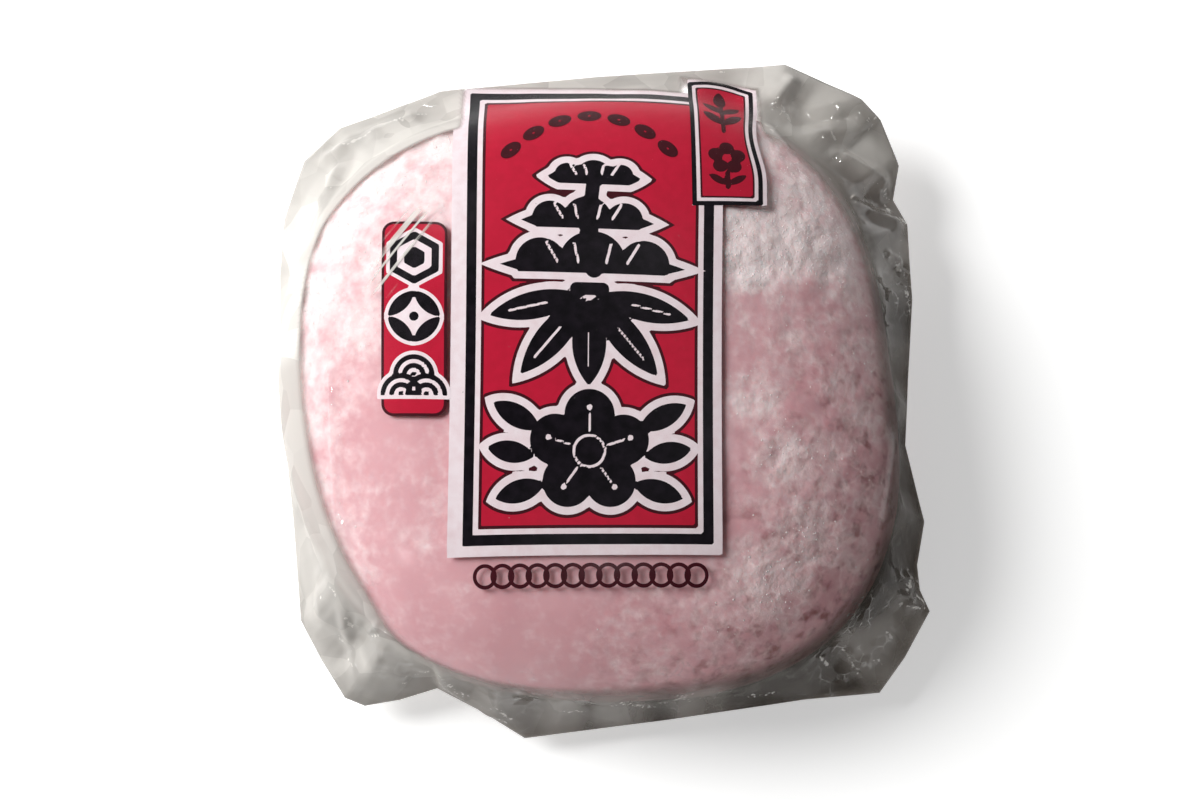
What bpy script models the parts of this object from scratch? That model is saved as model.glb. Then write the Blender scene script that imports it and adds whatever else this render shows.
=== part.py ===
"""A red bean mochi sealed in a clear film wrapper, lying on its flat foot with its printed side up.

It is one closed solid with the wrapper's outer form. The film lies close on the sweet's domed top, leaves it at the
shoulder, runs out to a crumpled rim with an ear at each corner, and folds back under to the foot. The ears are thin
fins: there the film clings to the sweet above and below, so that its round side shows between them and the foot.
Metres, +Z up. The origin is under the middle of the wrapper's box, on the surface that it rests on.
"""

import math
import random

import bmesh
import bpy

MM = 0.001

# The sweet, in millimetres
SWEET_REACH = 36.9  # from its middle to its waist, its widest line, on average
SWEET_HEIGHT = 30.0
WAIST_HEIGHT = 12.5
SWEET_POWER = 2.4  # of its superellipse section: 2 is an ellipse, and more is fuller
# How the waist's outline leaves a circle: waves in a turn, then the size of each cosine and sine
WAIST_WAVES = ((1, -1.2, -0.75), (2, 0.1, -0.55), (3, -0.8, 0.0), (4, -1.3, -0.4))

# The wrapper, in millimetres
FILM_GAP = 0.4  # between the sweet and the outer side of the film on it
FOOT_SHARE = 0.76  # of the sweet's reach that lies flat on the table
SAG_SHARE = 0.07  # of a free stretch of film, by which it hangs below a straight line
UNDER_POWER = 1.6  # of the superellipse from the rim back to the foot
# Where the rim is wide of the sweet, the film clings to the sweet above and below, and stands out between as a fin
FIN_GAPS = (2.0, 6.0)  # between the rim and the sweet: where a fin starts, and where it is whole
CLING_SHARE = 0.85  # of the way from where taut film leaves the sweet to the lowest turn that it clings to
CLING_TURN = math.radians(6)
FIN_DROP_SHARE = 0.7  # of the rim's height: where the fin's underside meets the sweet
# The rim's corners, anticlockwise from the right: x, y and height. The film is straight between them
RIM_CORNERS = (
    (36.1, 1.8, 10.0),
    (36.9, 11.7, 9.5),
    (36.5, 21.0, 9.5),
    (34.9, 24.2, 9.5),
    (35.7, 28.5, 9.5),
    (33.5, 33.9, 10.5),
    (31.1, 36.1, 11.5),
    (26.1, 38.3, 12.5),
    (21.8, 40.0, 13.0),
    (-0.5, 38.2, 14.0),
    (-19.7, 36.7, 13.0),
    (-31.8, 32.6, 11.0),
    (-36.1, 28.8, 10.5),
    (-38.4, 21.5, 10.0),
    (-38.5, 13.8, 12.0),
    (-38.0, -2.0, 11.0),
    (-36.6, -14.8, 8.5),
    (-35.6, -26.5, 7.0),
    (-33.2, -31.0, 6.0),
    (-30.4, -35.4, 5.5),
    (-28.1, -36.3, 5.0),
    (-24.0, -35.6, 5.0),
    (-19.6, -34.3, 5.5),
    (-14.5, -36.9, 5.0),
    (-9.3, -40.0, 4.0),
    (7.5, -37.9, 4.5),
    (23.5, -35.6, 5.0),
    (32.4, -34.8, 5.5),
    (35.4, -30.7, 6.0),
    (38.5, -25.2, 5.5),
    (37.3, -22.8, 6.5),
    (37.0, -19.9, 7.0),
    (37.9, -14.8, 7.5),
    (35.7, -5.9, 9.0),
)

# Pleats in the free film: its depth for each millimetre of free width, and the waves in a turn
PLEAT_SHARE = 0.11
PLEAT_COUNTS = (13, 21, 34)
RIM_LIFT_SHARE = 0.5  # of the pleat that also lifts and drops the rim
PLEAT_SEED = 5

# The mesh: columns of vertices round the wrapper, and the ring that ends each stretch from the crown to the foot
COLUMNS = 120
DOME_RING = 12
RIM_RING = 17
FOOT_RING = 23
LAST_RING = 26
TANGENT_STEPS = 90
LOWEST_TANGENT = math.radians(-30)
HIGHEST_TANGENT = math.radians(80)

PINK = (0.62, 0.39, 0.40, 1.0)


def waist_reach(bearing):
    """The sweet's reach at its waist along a bearing, in millimetres."""
    waves = (c * math.cos(n * bearing) + s * math.sin(n * bearing) for n, c, s in WAIST_WAVES)
    return SWEET_REACH + sum(waves)


def dome_point(reach, turn):
    """(reach, height) of the film on the sweet. Turn is 0 at the waist and 90 degrees at the crown."""
    across = math.cos(turn) ** (2 / SWEET_POWER)
    up = abs(math.sin(turn)) ** (2 / SWEET_POWER)
    if turn < 0:
        return reach * across, WAIST_HEIGHT * (1 - up)
    return reach * across, WAIST_HEIGHT + (SWEET_HEIGHT + FILM_GAP - WAIST_HEIGHT) * up


def rim_point(bearing):
    """(bearing, reach, height) of the rim: a corner's own place where one is near, or the straight film by it."""
    near = math.pi / COLUMNS
    corners = [(math.atan2(y, x) % math.tau, math.hypot(x, y), z) for x, y, z in RIM_CORNERS]
    for corner in corners:
        if abs((corner[0] - bearing + math.pi) % math.tau - math.pi) <= near:
            return corner
    for i, (before, start, start_height) in enumerate(corners):
        after, end, end_height = corners[(i + 1) % len(corners)]
        span = (after - before) % math.tau
        along = (bearing - before) % math.tau
        if along < span:
            passed = start * math.sin(along)
            whole = passed + end * math.sin(span - along)
            height = start_height + (end_height - start_height) * passed / whole
            return bearing, start * end * math.sin(span) / whole, height
    raise ValueError("the rim's corners don't go once round")


def zigzag(turns):
    """A triangle wave between -1 and 1, one for each turn."""
    return 4 * abs(turns - math.floor(turns + 0.5)) - 1


def make_pleats():
    """A function that gives the pleats' wave, from about -1 to 1, at a bearing."""
    draw = random.Random(PLEAT_SEED)
    waves = [(count, draw.random(), draw.uniform(0.6, 1.0)) for count in PLEAT_COUNTS]
    total = sum(size for _, _, size in waves)

    def pleats(bearing):
        turns = bearing / math.tau
        return sum(size * zigzag(count * turns + start) for count, start, size in waves) / total

    return pleats


def shoulder_turn(reach, rim_reach, rim_height):
    """Where the film leaves the sweet: the steepest straight line up from the rim touches it there."""

    def slope(turn):
        across, height = dome_point(reach, turn)
        return math.atan2(height - rim_height, rim_reach - across)

    step = (HIGHEST_TANGENT - LOWEST_TANGENT) / TANGENT_STEPS
    return max((LOWEST_TANGENT + i * step for i in range(TANGENT_STEPS + 1)), key=slope)


def fin_share(gap):
    """How far the film is a fin, from 0 to 1, where the rim is a gap away from the sweet."""
    share = max(0.0, min(1.0, (gap - FIN_GAPS[0]) / (FIN_GAPS[1] - FIN_GAPS[0])))
    return share * share * (3 - 2 * share)


def under_point(reach, rim_reach, rim_height, share):
    """(reach, height) on the underside, at a share of the way from the rim back to the foot."""
    foot = reach * FOOT_SHARE
    turn = math.pi / 2 * share
    bow = foot + (rim_reach - foot) * max(0.0, math.cos(turn)) ** (2 / UNDER_POWER)
    bow_height = rim_height * (1 - math.sin(turn) ** (2 / UNDER_POWER))
    meet = math.asin(1 - FIN_DROP_SHARE * rim_height / WAIST_HEIGHT)
    turn = meet + (math.pi / 2 - meet) * max(0.0, 2 * share - 1)
    fin = foot + (reach - foot) * math.cos(turn)
    fin_height = WAIST_HEIGHT * (1 - math.sin(turn))
    if share < 0.5:
        fin = rim_reach + (fin - rim_reach) * 2 * share
        fin_height = rim_height + (fin_height - rim_height) * 2 * share
    whole = fin_share(rim_reach - reach)
    return bow + (fin - bow) * whole, bow_height + (fin_height - bow_height) * whole


def section(bearing, pleat):
    """(reach, height) of every ring along one bearing, from the crown to the middle of the foot, in millimetres."""
    bearing, rim_reach, rim_height = rim_point(bearing)
    sweet = waist_reach(bearing) + FILM_GAP
    leave = shoulder_turn(sweet, rim_reach, rim_height)
    leave += (CLING_TURN - leave) * CLING_SHARE * fin_share(rim_reach - sweet)
    points = []
    for ring in range(DOME_RING + 1):
        turn = math.pi / 2 + (leave - math.pi / 2) * ring / DOME_RING
        points.append(dome_point(sweet, turn))
    shoulder_reach, shoulder_height = points[-1]
    out = rim_reach - shoulder_reach
    down = shoulder_height - rim_height
    free = math.hypot(out, down)
    for ring in range(DOME_RING + 1, RIM_RING + 1):
        share = (ring - DOME_RING) / (RIM_RING - DOME_RING)
        bow = 4 * share * (1 - share)
        push = bow * free * (PLEAT_SHARE * pleat - SAG_SHARE)
        lift = share**2 * RIM_LIFT_SHARE * PLEAT_SHARE * out * pleat
        reach = shoulder_reach + out * share + push * down / free
        points.append((reach, shoulder_height - down * share + push * out / free + lift))
    rim_height = points[-1][1]
    for ring in range(RIM_RING + 1, FOOT_RING):
        points.append(under_point(sweet, rim_reach, rim_height, (ring - RIM_RING) / (FOOT_RING - RIM_RING)))
    for ring in range(FOOT_RING, LAST_RING + 1):
        points.append((sweet * FOOT_SHARE * (LAST_RING - ring) / (LAST_RING - FOOT_RING), 0.0))
    return bearing, points


def make_wrapper():
    """The wrapper's mesh: a sphere's grid of vertices, each moved to its own place on the wrapper."""
    bm = bmesh.new()
    bmesh.ops.create_uvsphere(bm, u_segments=COLUMNS, v_segments=LAST_RING, radius=1.0)
    pleats = make_pleats()
    sections = {}
    for vert in bm.verts:
        ring = round(math.acos(max(-1.0, min(1.0, vert.co.z))) / math.pi * LAST_RING)
        column = round(math.atan2(vert.co.y, vert.co.x) / math.tau * COLUMNS) % COLUMNS
        if column not in sections:
            nominal = column * math.tau / COLUMNS
            sections[column] = section(nominal, pleats(nominal))
        bearing, points = sections[column]
        reach, height = points[ring]
        vert.co = (reach * math.cos(bearing) * MM, reach * math.sin(bearing) * MM, height * MM)
    mesh = bpy.data.meshes.new("wrapped_mochi")
    bm.to_mesh(mesh)
    bm.free()
    mesh.shade_smooth()
    mesh.set_sharp_from_angle(angle=math.radians(35))
    return mesh


def make_material():
    material = bpy.data.materials.new("pink rice dough under clear film")
    material.use_nodes = True
    surface = material.node_tree.nodes["Principled BSDF"]
    surface.inputs["Base Color"].default_value = PINK
    surface.inputs["Roughness"].default_value = 0.35
    surface.inputs["Metallic"].default_value = 0.0
    return material


def main():
    for obj in list(bpy.data.objects):
        bpy.data.objects.remove(obj, do_unlink=True)
    parts = bpy.data.collections.new("red_bean_mochi")
    bpy.context.scene.collection.children.link(parts)
    mesh = make_wrapper()
    mesh.materials.append(make_material())
    parts.objects.link(bpy.data.objects.new("wrapped_mochi", mesh))


main()
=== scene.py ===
"""A red bean mochi in a printed clear wrapper: the sweet, its starch, the crumpled film and the print.

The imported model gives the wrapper's outer form. The film repeats that form on a finer grid, and the sweet,
the starch and the print lie inside it. Lengths are millimetres where nothing else is said.
"""

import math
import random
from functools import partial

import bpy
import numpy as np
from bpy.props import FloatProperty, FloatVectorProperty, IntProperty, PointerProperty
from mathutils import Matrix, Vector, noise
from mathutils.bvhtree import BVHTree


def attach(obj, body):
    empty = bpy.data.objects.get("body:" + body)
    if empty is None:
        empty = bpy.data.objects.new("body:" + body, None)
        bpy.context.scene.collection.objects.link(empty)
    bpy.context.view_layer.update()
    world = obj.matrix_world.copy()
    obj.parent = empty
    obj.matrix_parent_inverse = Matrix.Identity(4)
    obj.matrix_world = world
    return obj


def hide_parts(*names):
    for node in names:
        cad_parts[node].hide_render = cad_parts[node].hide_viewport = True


bl_info = {
    "name": "Wrapped Red Bean Mochi",
    "version": (1, 0, 0),
    "blender": (4, 5, 0),
    "location": "View3D > Sidebar > Mochi",
    "description": "Builds a dusted mochi, its clear film wrapper and its print",
    "category": "Object",
}

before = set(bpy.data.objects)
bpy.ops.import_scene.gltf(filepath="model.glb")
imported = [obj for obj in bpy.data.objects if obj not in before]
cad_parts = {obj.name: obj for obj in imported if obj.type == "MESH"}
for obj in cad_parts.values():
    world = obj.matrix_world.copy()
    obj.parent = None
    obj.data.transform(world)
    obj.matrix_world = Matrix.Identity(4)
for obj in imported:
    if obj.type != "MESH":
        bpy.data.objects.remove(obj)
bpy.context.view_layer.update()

NODE = "wrapped_mochi"
BODY = "root"
MM = 0.001

# The sweet
SWEET_REACH = 36.9  # from its middle to its waist, its widest line, on average
SWEET_HEIGHT = 30.0
WAIST_HEIGHT = 12.5
SWEET_POWER = 2.4  # of its superellipse section: 2 is an ellipse, and more is fuller
# How the waist's outline leaves a circle: waves in a turn, then the size of each cosine and sine
WAIST_WAVES = ((1, -1.2, -0.75), (2, 0.1, -0.55), (3, -0.8, 0.0), (4, -1.3, -0.4))
SWEET_FOOT_SHARE = 0.73  # of its reach that lies flat
SWEET_FLOOR = 0.3  # clear of the film under it
WAIST_FULLNESS = 0.24  # by which it fills the film better near its waist than at its crown
LUMP_CELL = 11.0  # of its soft dents
GRAIN_CELL = 2.6  # of the relief in its coat
PUSH_HEIGHT = 18.0  # of the ellipsoid that gives the way in which its relief stands out
FILM_CLEAR = 0.3  # at least, between the plain form of the sweet and the film
SWEET_COLUMNS = 400
SWEET_RINGS = (150, 50, 16)  # crown to waist, waist to foot, foot to its middle

# The wrapper
FILM_GAP = 0.4  # between the sweet and the outer side of the film on it
FOOT_SHARE = 0.76  # of the sweet's reach that lies flat on the table
SAG_SHARE = 0.07  # of a free stretch of film, by which it hangs below a straight line
UNDER_POWER = 1.6  # of the superellipse from the rim back to the foot
# Where the rim is wide of the sweet, the film clings to it above and below, and stands out between as a fin
FIN_GAPS = (2.0, 6.0)  # between the rim and the sweet: where a fin starts, and where it is whole
CLING_SHARE = 0.85  # of the way from where taut film leaves the sweet to the lowest turn that it clings to
CLING_TURN = math.radians(6)
FIN_DROP_SHARE = 0.7  # of the rim's height: where the fin's underside meets the sweet
# The rim's corners, anticlockwise from the right: x, y and height. The film is straight between them
RIM_CORNERS = (
    (36.1, 1.8, 10), (36.9, 11.7, 9.5), (36.5, 21, 9.5), (34.9, 24.2, 9.5), (35.7, 28.5, 9.5),
    (33.5, 33.9, 10.5), (31.1, 36.1, 11.5), (26.1, 38.3, 12.5), (21.8, 40, 13), (-0.5, 38.2, 14),
    (-19.7, 36.7, 13), (-31.8, 32.6, 11), (-36.1, 28.8, 10.5), (-38.4, 21.5, 10), (-38.5, 13.8, 12),
    (-38, -2, 11), (-36.6, -14.8, 8.5), (-35.6, -26.5, 7), (-33.2, -31, 6), (-30.4, -35.4, 5.5),
    (-28.1, -36.3, 5), (-24, -35.6, 5), (-19.6, -34.3, 5.5), (-14.5, -36.9, 5), (-9.3, -40, 4),
    (7.5, -37.9, 4.5), (23.5, -35.6, 5), (32.4, -34.8, 5.5), (35.4, -30.7, 6), (38.5, -25.2, 5.5),
    (37.3, -22.8, 6.5), (37, -19.9, 7), (37.9, -14.8, 7.5), (35.7, -5.9, 9),
)
PLEAT_SHARE = 0.11  # a pleat's depth for each millimetre of free width
PLEAT_COUNTS = (13, 21, 34)
RIM_LIFT_SHARE = 0.5  # of the pleat that also lifts and drops the rim
PLEAT_SEED = 5
TANGENT_STEPS = 90
LOWEST_TANGENT = math.radians(-30)
HIGHEST_TANGENT = math.radians(80)
FILM_COLUMNS = 750
FILM_RINGS = (74, 40, 14, 3)  # crown to shoulder, shoulder to rim, rim to foot, foot to its middle

# The crumpled film: the facets' size along and across the wrapper, and their seeds
FOLD_CELL = (9.0, 5.0)
CRINKLE_CELL = (2.8, 1.9)
FOLD_SEED = 11
CRINKLE_SEED = 23
CREASE_WIDTH = 0.3
FIELD_WIDTH = 34.0  # of the strip of film from the shoulder to the foot
FIELD_ARC = 37.0  # the strip's mean radius
FACET_SHIFT = 0.42  # of a cell, by which a facet's corner may leave its place
# Folds that stand out in the free film: both ends' x and y seen from above, the height and the half width
FREE_FOLDS = (
    (-21.2, 34, -29.1, 31.1, 0.7, 1.3), (-30.4, 30.1, -34.3, 28.5, 0.6, 1.1),
    (-31.8, 27.8, -32.9, 22.9, 0.6, 1), (23.3, 39, 19.9, 33.7, 0.8, 1.3), (22, 31.8, 31.3, 34.3, -0.9, 1.8),
    (26.5, 28.6, 35.2, 24.9, 1.3, 2), (22.5, 29.1, 26.7, 24.1, -0.7, 1.2), (28.6, 22.5, 36.4, 20.6, 0.8, 1.4),
    (33.1, 16.5, 35.8, 15.8, 0.5, 0.8), (36.2, -20.8, 35.2, -24.6, 0.7, 0.9),
    (35.2, -24.6, 38.1, -24.6, 0.6, 0.8), (28.4, -29.7, 30.1, -32.7, 0.3, 1.2),
    (-33.3, -20.6, -32.7, -27.5, 0.3, 1), (-30.3, -24.3, -28.8, -34.3, 0.4, 1),
    (-24, -33.2, -19, -33.4, -0.8, 1.2), (-20.3, -32.4, -11.5, -38.2, 0.8, 1),
    (-5.1, -36.6, 20.6, -34, 0.6, 0.9), (-37, 11.1, -36.2, -3.5, 0.5, 0.9),
)
# Sharp creases, partly stress-whitened and partly painted glints: both ends' x and y, the half width and how
# white it is
WHITE_CREASES_AND_GLINTS = (
    (19, 31, 19.7, 28.9, 0.28, 1), (21.2, 33.7, 19.7, 28.9, 0.22, 0.9), (21.3, 33.9, 22.2, 32, 0.25, 1),
    (27.2, 31.2, 27.7, 30.2, 0.25, 1), (30.2, 29.7, 31.4, 31.4, 0.25, 1), (31.7, 33.5, 33.1, 34.1, 0.3, 1),
    (32.3, 33.3, 31.8, 32, 0.25, 0.8), (25.8, 24, 26.6, 23.8, 0.25, 0.9), (27.1, 21.3, 27.6, 21.1, 0.25, 0.7),
    (33.8, 23.3, 34.4, 22.4, 0.3, 0.9), (35.4, 21.8, 36.3, 21.2, 0.3, 1), (25.2, 28.5, 34.7, 24.1, 0.4, 0.45),
    (33.3, 16.2, 35.8, 14.7, 0.45, 0.7), (35.9, 13.2, 36.4, 10.4, 0.5, 0.6),
    (23.8, 40.4, 20.1, 34.1, 0.8, 0.5), (23.9, 34.5, 25.2, 28, 0.3, 0.35), (11.6, 38.7, 21.3, 39.8, 0.3, 0.5),
    (-34.3, 28.5, -25.2, 32.7, 0.3, 0.8), (-25.2, 32.7, -21.5, 33.8, 0.3, 0.7),
    (-28.8, 30, -20.7, 34.5, 0.25, 0.55), (-37.1, 26.2, -35.7, 27.2, 0.3, 0.8),
    (-32.6, 22.9, -31.4, 27.3, 0.25, 0.6), (-37.5, 21.2, -37.3, 15.1, 0.3, 0.5),
    (-31.5, -23.5, -30.8, -24.5, 0.25, 0.9), (-29.6, -26.8, -29, -27.7, 0.25, 1),
    (-31, -28.4, -30.3, -29.3, 0.25, 0.9), (-29.8, -30.9, -29.1, -31.9, 0.25, 0.9),
    (-32.4, -30.6, -31.7, -31.5, 0.25, 0.8), (-27.1, -29.1, -24.8, -29.1, 0.3, 0.9),
    (-20, -33, -11.5, -38.3, 0.25, 0.6), (-19.3, -32.9, -10.7, -38, 0.22, 0.5),
    (-23.6, -33.6, -20, -33.1, 0.25, 0.5), (-20, -33.1, -18.8, -34.4, 0.25, 0.5),
    (-23.6, -33.6, -21.3, -35.6, 0.25, 0.4), (-32.9, -21.2, -32.3, -28, 0.3, 0.4),
    (35.9, -21.3, 34.8, -25.1, 0.3, 0.7), (34.8, -25.1, 37.9, -24.9, 0.3, 0.7),
    (27.9, -30.3, 29.9, -33, 0.3, 0.6), (25.2, -31.5, 26, -32, 0.3, 1),
    (30.5, -24.1, 23.9, -31.8, 0.25, 0.35), (-5.1, -37.3, 6.5, -36.5, 0.25, 0.5),
    (6.5, -36.5, 20.5, -34.9, 0.25, 0.4), (36.5, -23.7, 37.5, -24, 0.3, 1),
    (33.2, -28.1, 34, -28.9, 0.28, 0.9), (31.8, -31.2, 32.8, -31.6, 0.25, 0.8),
)
# Painted light and shade on the free film, which make it paler or darker there: x, y, radius and how much
FILM_PAINTED_LIGHT_AND_SHADE = (
    (30.8, 24.5, 3.5, -0.1), (31.5, 28.5, 3.2, 0.85), (33, 9, 3.7, -0.7), (26, 36.4, 4.7, 0.3),
    (18.8, 38.6, 3.5, 0.4), (33.2, -4.9, 2.6, -0.5), (31.5, -20.9, 3.2, -1.2), (29, -25, 3.2, -1.1),
    (25, -29, 2, -0.4), (20.3, -32.7, 2.6, -0.2), (31.5, -29.5, 4, 0.95), (35.5, -26.5, 2.5, 0.5),
    (35.2, -24.4, 2.1, 0.3), (32.4, -33.4, 2.3, 0.4), (11.3, -37.1, 3.5, 0.5), (2, -37.5, 3.5, 0.4),
    (-5.1, -37.9, 3, 0.4), (-32.1, -30, 2.6, 0.2), (-30.4, -34.5, 2.1, -0.2), (-32.6, -24.8, 1.6, -0.2),
    (36.1, 17.7, 1.6, 0.4), (31.3, 17.4, 2.1, -0.3), (-37.6, 8, 6, 0.5), (-37, 19, 4, 0.4),
)
# Places where the film is finely crumpled: x, y, radius and how much
CRUMPLED_PLACES = (
    (31.5, -29, 5, 0.7), (27, -32, 3.5, 0.3), (24.5, 36, 3.5, 0.5), (36.5, -22.5, 2.5, 0.8),
    (-30.5, -28, 6, 0.8), (-24.5, -32.5, 3.5, 0.6), (-32.5, -22, 3, 0.5), (21, 33, 2.5, 0.8),
    (28, 31, 4, 0.6), (33.5, 31, 3.5, 0.5), (33, 24, 3.5, 0.5), (35, 13, 3.5, 0.5), (-10, -37.5, 4, 0.5),
    (10, -36.5, 5, 0.3), (-27, 31, 4, 0.3), (-35, 24, 4, 0.3),
)
# How hazed the free film is, by how far it lies on the window's side: from -1, away from it, to 1. It is
# whiter towards the window and clearer away from it, which is painted light and shade over the starch's own
# cloudiness
PAINTED_LIGHT_SIDES = (-1.0, -0.6, -0.14, 0.4, 0.8)
HAZE_WITH_PAINTED_LIGHT_AMOUNTS = (0.05, 0.11, 0.4, 0.66, 0.74)
# Painted highlights in streaks, where the film on the sweet would catch the window: x, y, radius and how much
GLARE_PLACES = (
    (-21.6, 16.4, 1.9, 1), (-23, 13.8, 1.9, 1), (-24.2, 11.4, 1.7, 0.9), (-25.2, 9.2, 1.5, 0.8),
)
GLARE_ACROSS = (0.78, -0.62, 0.0)  # the way across the streaks
VIEW_LEAN = 0.21  # of a place's height, by which it looks further back from where the camera stands
LAYER_SHARES = (0.65, 1.35)  # of the film's tint, in its upper layer and in the one folded under it, which lets through less as painted shade on the underside
CLEAR_TINT = (0.99, 0.99, 0.99, 1.0)  # what the film lets through where it lies on the sweet
MOST_HAZE = 0.93
HALF_WIDTH = 38  # of the wrapper, against which a place's way to the window is measured
SLACK_CELL = (9, 6)  # of the soft bumps in the film on the sweet
SLACK_DEPTH = 0.12
CREASE_RISE = 0.04
EASE_PASSES = 60  # that round the film off where it leaves the sweet
# Tension folds where the film lies on the sweet: both ends' x and y, the height and the half width
TENSION_FOLDS = (
    (-31, 3.1, -29.7, -20.7, 0.5, 0.8), (24.1, -27.1, 22.7, -28.8, 0.25, 0.5),
    (-27.5, -28.4, -25.4, -28.2, 0.35, 0.5), (19, 31, 21.5, 26, 0.35, 0.8), (30.5, -19, 33, -5, 0.3, 0.9),
)

# The starch on the sweet: x, y, radius and amount of each dusted place, seen from above
DUSTED_PLACES = (
    (-19.8, 28.6, 7, 1), (-26.9, 24, 7.9, 1), (-31.7, 17.1, 7.9, 1), (-33.6, 9, 7, 0.95),
    (-34, 1.2, 6.2, 0.8), (-33.3, -5.5, 5.3, 0.6), (-21, 20.4, 7.9, 0.75), (-25.2, 12.3, 7, 0.8),
    (-28.3, 4.7, 6.2, 0.7), (-28.7, -1.8, 4.4, 0.45), (-17.1, 17.6, 5.3, 0.7), (-16.9, 8.4, 4.4, 0.6),
    (16.1, 13.5, 7.2, 1.35), (20.5, 14.5, 7.2, 1.3), (25.5, 14, 6.6, 1.1), (19, 19.1, 5.3, 1.1),
    (23.5, 19.7, 6.2, 0.95), (27.7, 9.8, 5.3, 0.65), (29.8, 2.2, 4.9, 0.62), (30.7, -5.5, 4.9, 0.55),
    (30, -13.2, 4.9, 0.52), (16.9, -4.1, 4.9, 0.72), (20.1, -10.9, 5.6, 0.78), (26, -10.5, 6.2, 0.55),
    (22.7, -19, 7.4, 0.78), (18.5, -24.3, 6.8, 0.85), (27.2, -20.7, 6.2, 0.52), (17.5, 24.5, 7, 0.85),
    (22.5, 22.5, 7, 0.85), (19, 30, 5, 0.85), (27, 18.5, 6, 0.8), (31, 14, 4.5, 0.6), (21.9, 3.3, 9.5, 0.42),
    (28, -3, 9, 0.42), (24, -14, 12, 0.42), (16, 5, 5, 0.35), (-31.5, -13, 8, 0.42), (-30, -20, 7, 0.45),
    (-22, -17, 9, 0.2), (14.3, -28.4, 7.9, 0.45), (-29.9, -26, 7, 0.25), (3.8, -31.5, 10.6, 0.25),
    (17, -29, 9, 0.36), (-14, 33, 7, 0.9), (-27.5, 29, 6, 0.95), (-34.5, 21, 6, 1), (6, 36, 9, 0.8),
)
FLANK_DUST = 0.3  # the least amount on the sweet's flank, under its waist
FLANK_FADE = 8.0  # the height in which that sets in

# The print's places on the film, seen from above: each box's corners from the top left, clockwise
PANEL_CORNERS = ((-16.0, 36.2), (13.1, 34.25), (12.1, -20.7), (-15.7, -20.8))
PANEL_SIZE = (28.3, 56.2)
PANEL_DRAW_IN = 0.028  # of its width, by which it is narrower half way up, where it stretches over the crown
CARTOUCHE_CORNERS = ((-25.3, 16.9), (-17.7, 16.2), (-17.5, -6.5), (-24.9, -6.1))
CARTOUCHE_SIZE = (7.5, 22.9)
FLAG_CORNERS = ((10.0, 37.3), (17.8, 36.0), (18.1, 18.4), (10.0, 18.0))
FLAG_SIZE = (7.9, 18.4)
# The turn each way from straight up, in which the label keeps pleats flat: in full, and at its end
LABEL_TURN = (math.radians(20), math.radians(30))
LABEL_CALM = 0.85  # of a pleat, which the label takes out
PRINT_CELL = 0.3  # of the grid that the print is cut from
PANEL_DEPTH = 0.12  # of the print under the film's outer side
CARTOUCHE_DEPTH = 0.12
FLAG_DEPTH = 0.08
ORNAMENT_DEPTH = 0.08
BEAN_ARC = (-1.7, 25.4, 4.9, 9.0)  # the x and y that it rises from, its rise, and its reach each way
ARC_STEPS = 24
BEAN_PLUMPNESS = 0.62  # a bean's width for its length
BEAN_HOLE = 0.12  # of a bean's size
RING_LINE = ((-13.2, -24.1), (10.2, -24.0))
RING_HOLE = 0.7
# Heights clear of the film, from which the two rows and the labels drop onto it
GUIDE_HEIGHT = 60.0
DROP_HEIGHT = 100.0

# The stage, in metres: the floor, the main light, and small lights that the film's folds catch
FLOOR_HALF = 0.6
FLOOR_DROP = 2e-5
FLOOR_CLOUD = 0.985  # of its colour, in its faint clouds
LIGHTS_AIM = (0.0, 0.0, 0.015)
KEY_WAY = (-0.88, 0.36, 0.87)
KEY_DISTANCE = 0.8
KEY_SIZE = 0.45
GLINT_DISTANCE = 0.5
GLINT_SIZE = 0.025
GLINT_WAYS = (
    (-0.5, 0.9, 0.9), (0.9, 0.7, 1.2), (-0.9, -0.6, 0.7), (-1, 0.2, 0.8), (0.2, 0.9, 1.6), (0.6, 0.1, 1.9),
    (-0.1, -0.7, 1.8),
)
CAMERA_AIM = (-0.00046, 0.00023, 0.006)
CAMERA_DISTANCE = 0.32
CAMERA_ELEVATION = math.radians(78.0)
SENSOR_WIDTH = 36.0
PHOTO_WIDTH = 1200  # pixels
METRES_A_PIXEL = 0.00012  # in the photograph, at the aim

WHITE = "white_ink"
BLACK = "black_ink"
RED = "red_ink"
MAROON = "maroon_ink"


def linear(hex_code):
    """A linear RGBA colour from an sRGB hex code."""
    channels = [int(hex_code[i : i + 2], 16) / 255 for i in (1, 3, 5)]
    return (*[c / 12.92 if c <= 0.04045 else ((c + 0.055) / 1.055) ** 2.4 for c in channels], 1.0)


def add_node(tree, kind, *values, inputs=None, **settings):
    """Adds a node. Kind leaves out the ShaderNode that most types' names start with.

    Values fill the sockets in use from the first one on, and inputs holds others by their names. A node or a
    socket that is given as a value is linked, and a node gives its first output in use.
    """
    if not kind.startswith(("Geometry", "Function", "NodeGroup")):
        kind = "ShaderNode" + kind
    made = tree.nodes.new(kind)
    for name, value in settings.items():
        setattr(made, name, value)
    pairs = list(zip([socket for socket in made.inputs if socket.enabled], values))
    pairs += [(made.inputs[name], value) for name, value in (inputs or {}).items()]
    for socket, value in pairs:
        if isinstance(value, bpy.types.Node):
            value = next(output for output in value.outputs if output.enabled)
        if isinstance(value, bpy.types.NodeSocket):
            tree.links.new(value, socket)
        else:
            socket.default_value = value
    return made


def start_nodes(owner):
    """Empties the node tree of a material or a world, and returns the function that adds a node to it."""
    owner.use_nodes = True
    owner.node_tree.nodes.clear()
    return partial(add_node, owner.node_tree)


def new_material(name):
    """An empty material, the function that adds a node to it, and the piece's own coordinates."""
    material = bpy.data.materials.new(name)
    node = start_nodes(material)
    return material, node, node("TexCoord").outputs["Object"]


# Forms that the sweet and the film share


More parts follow.
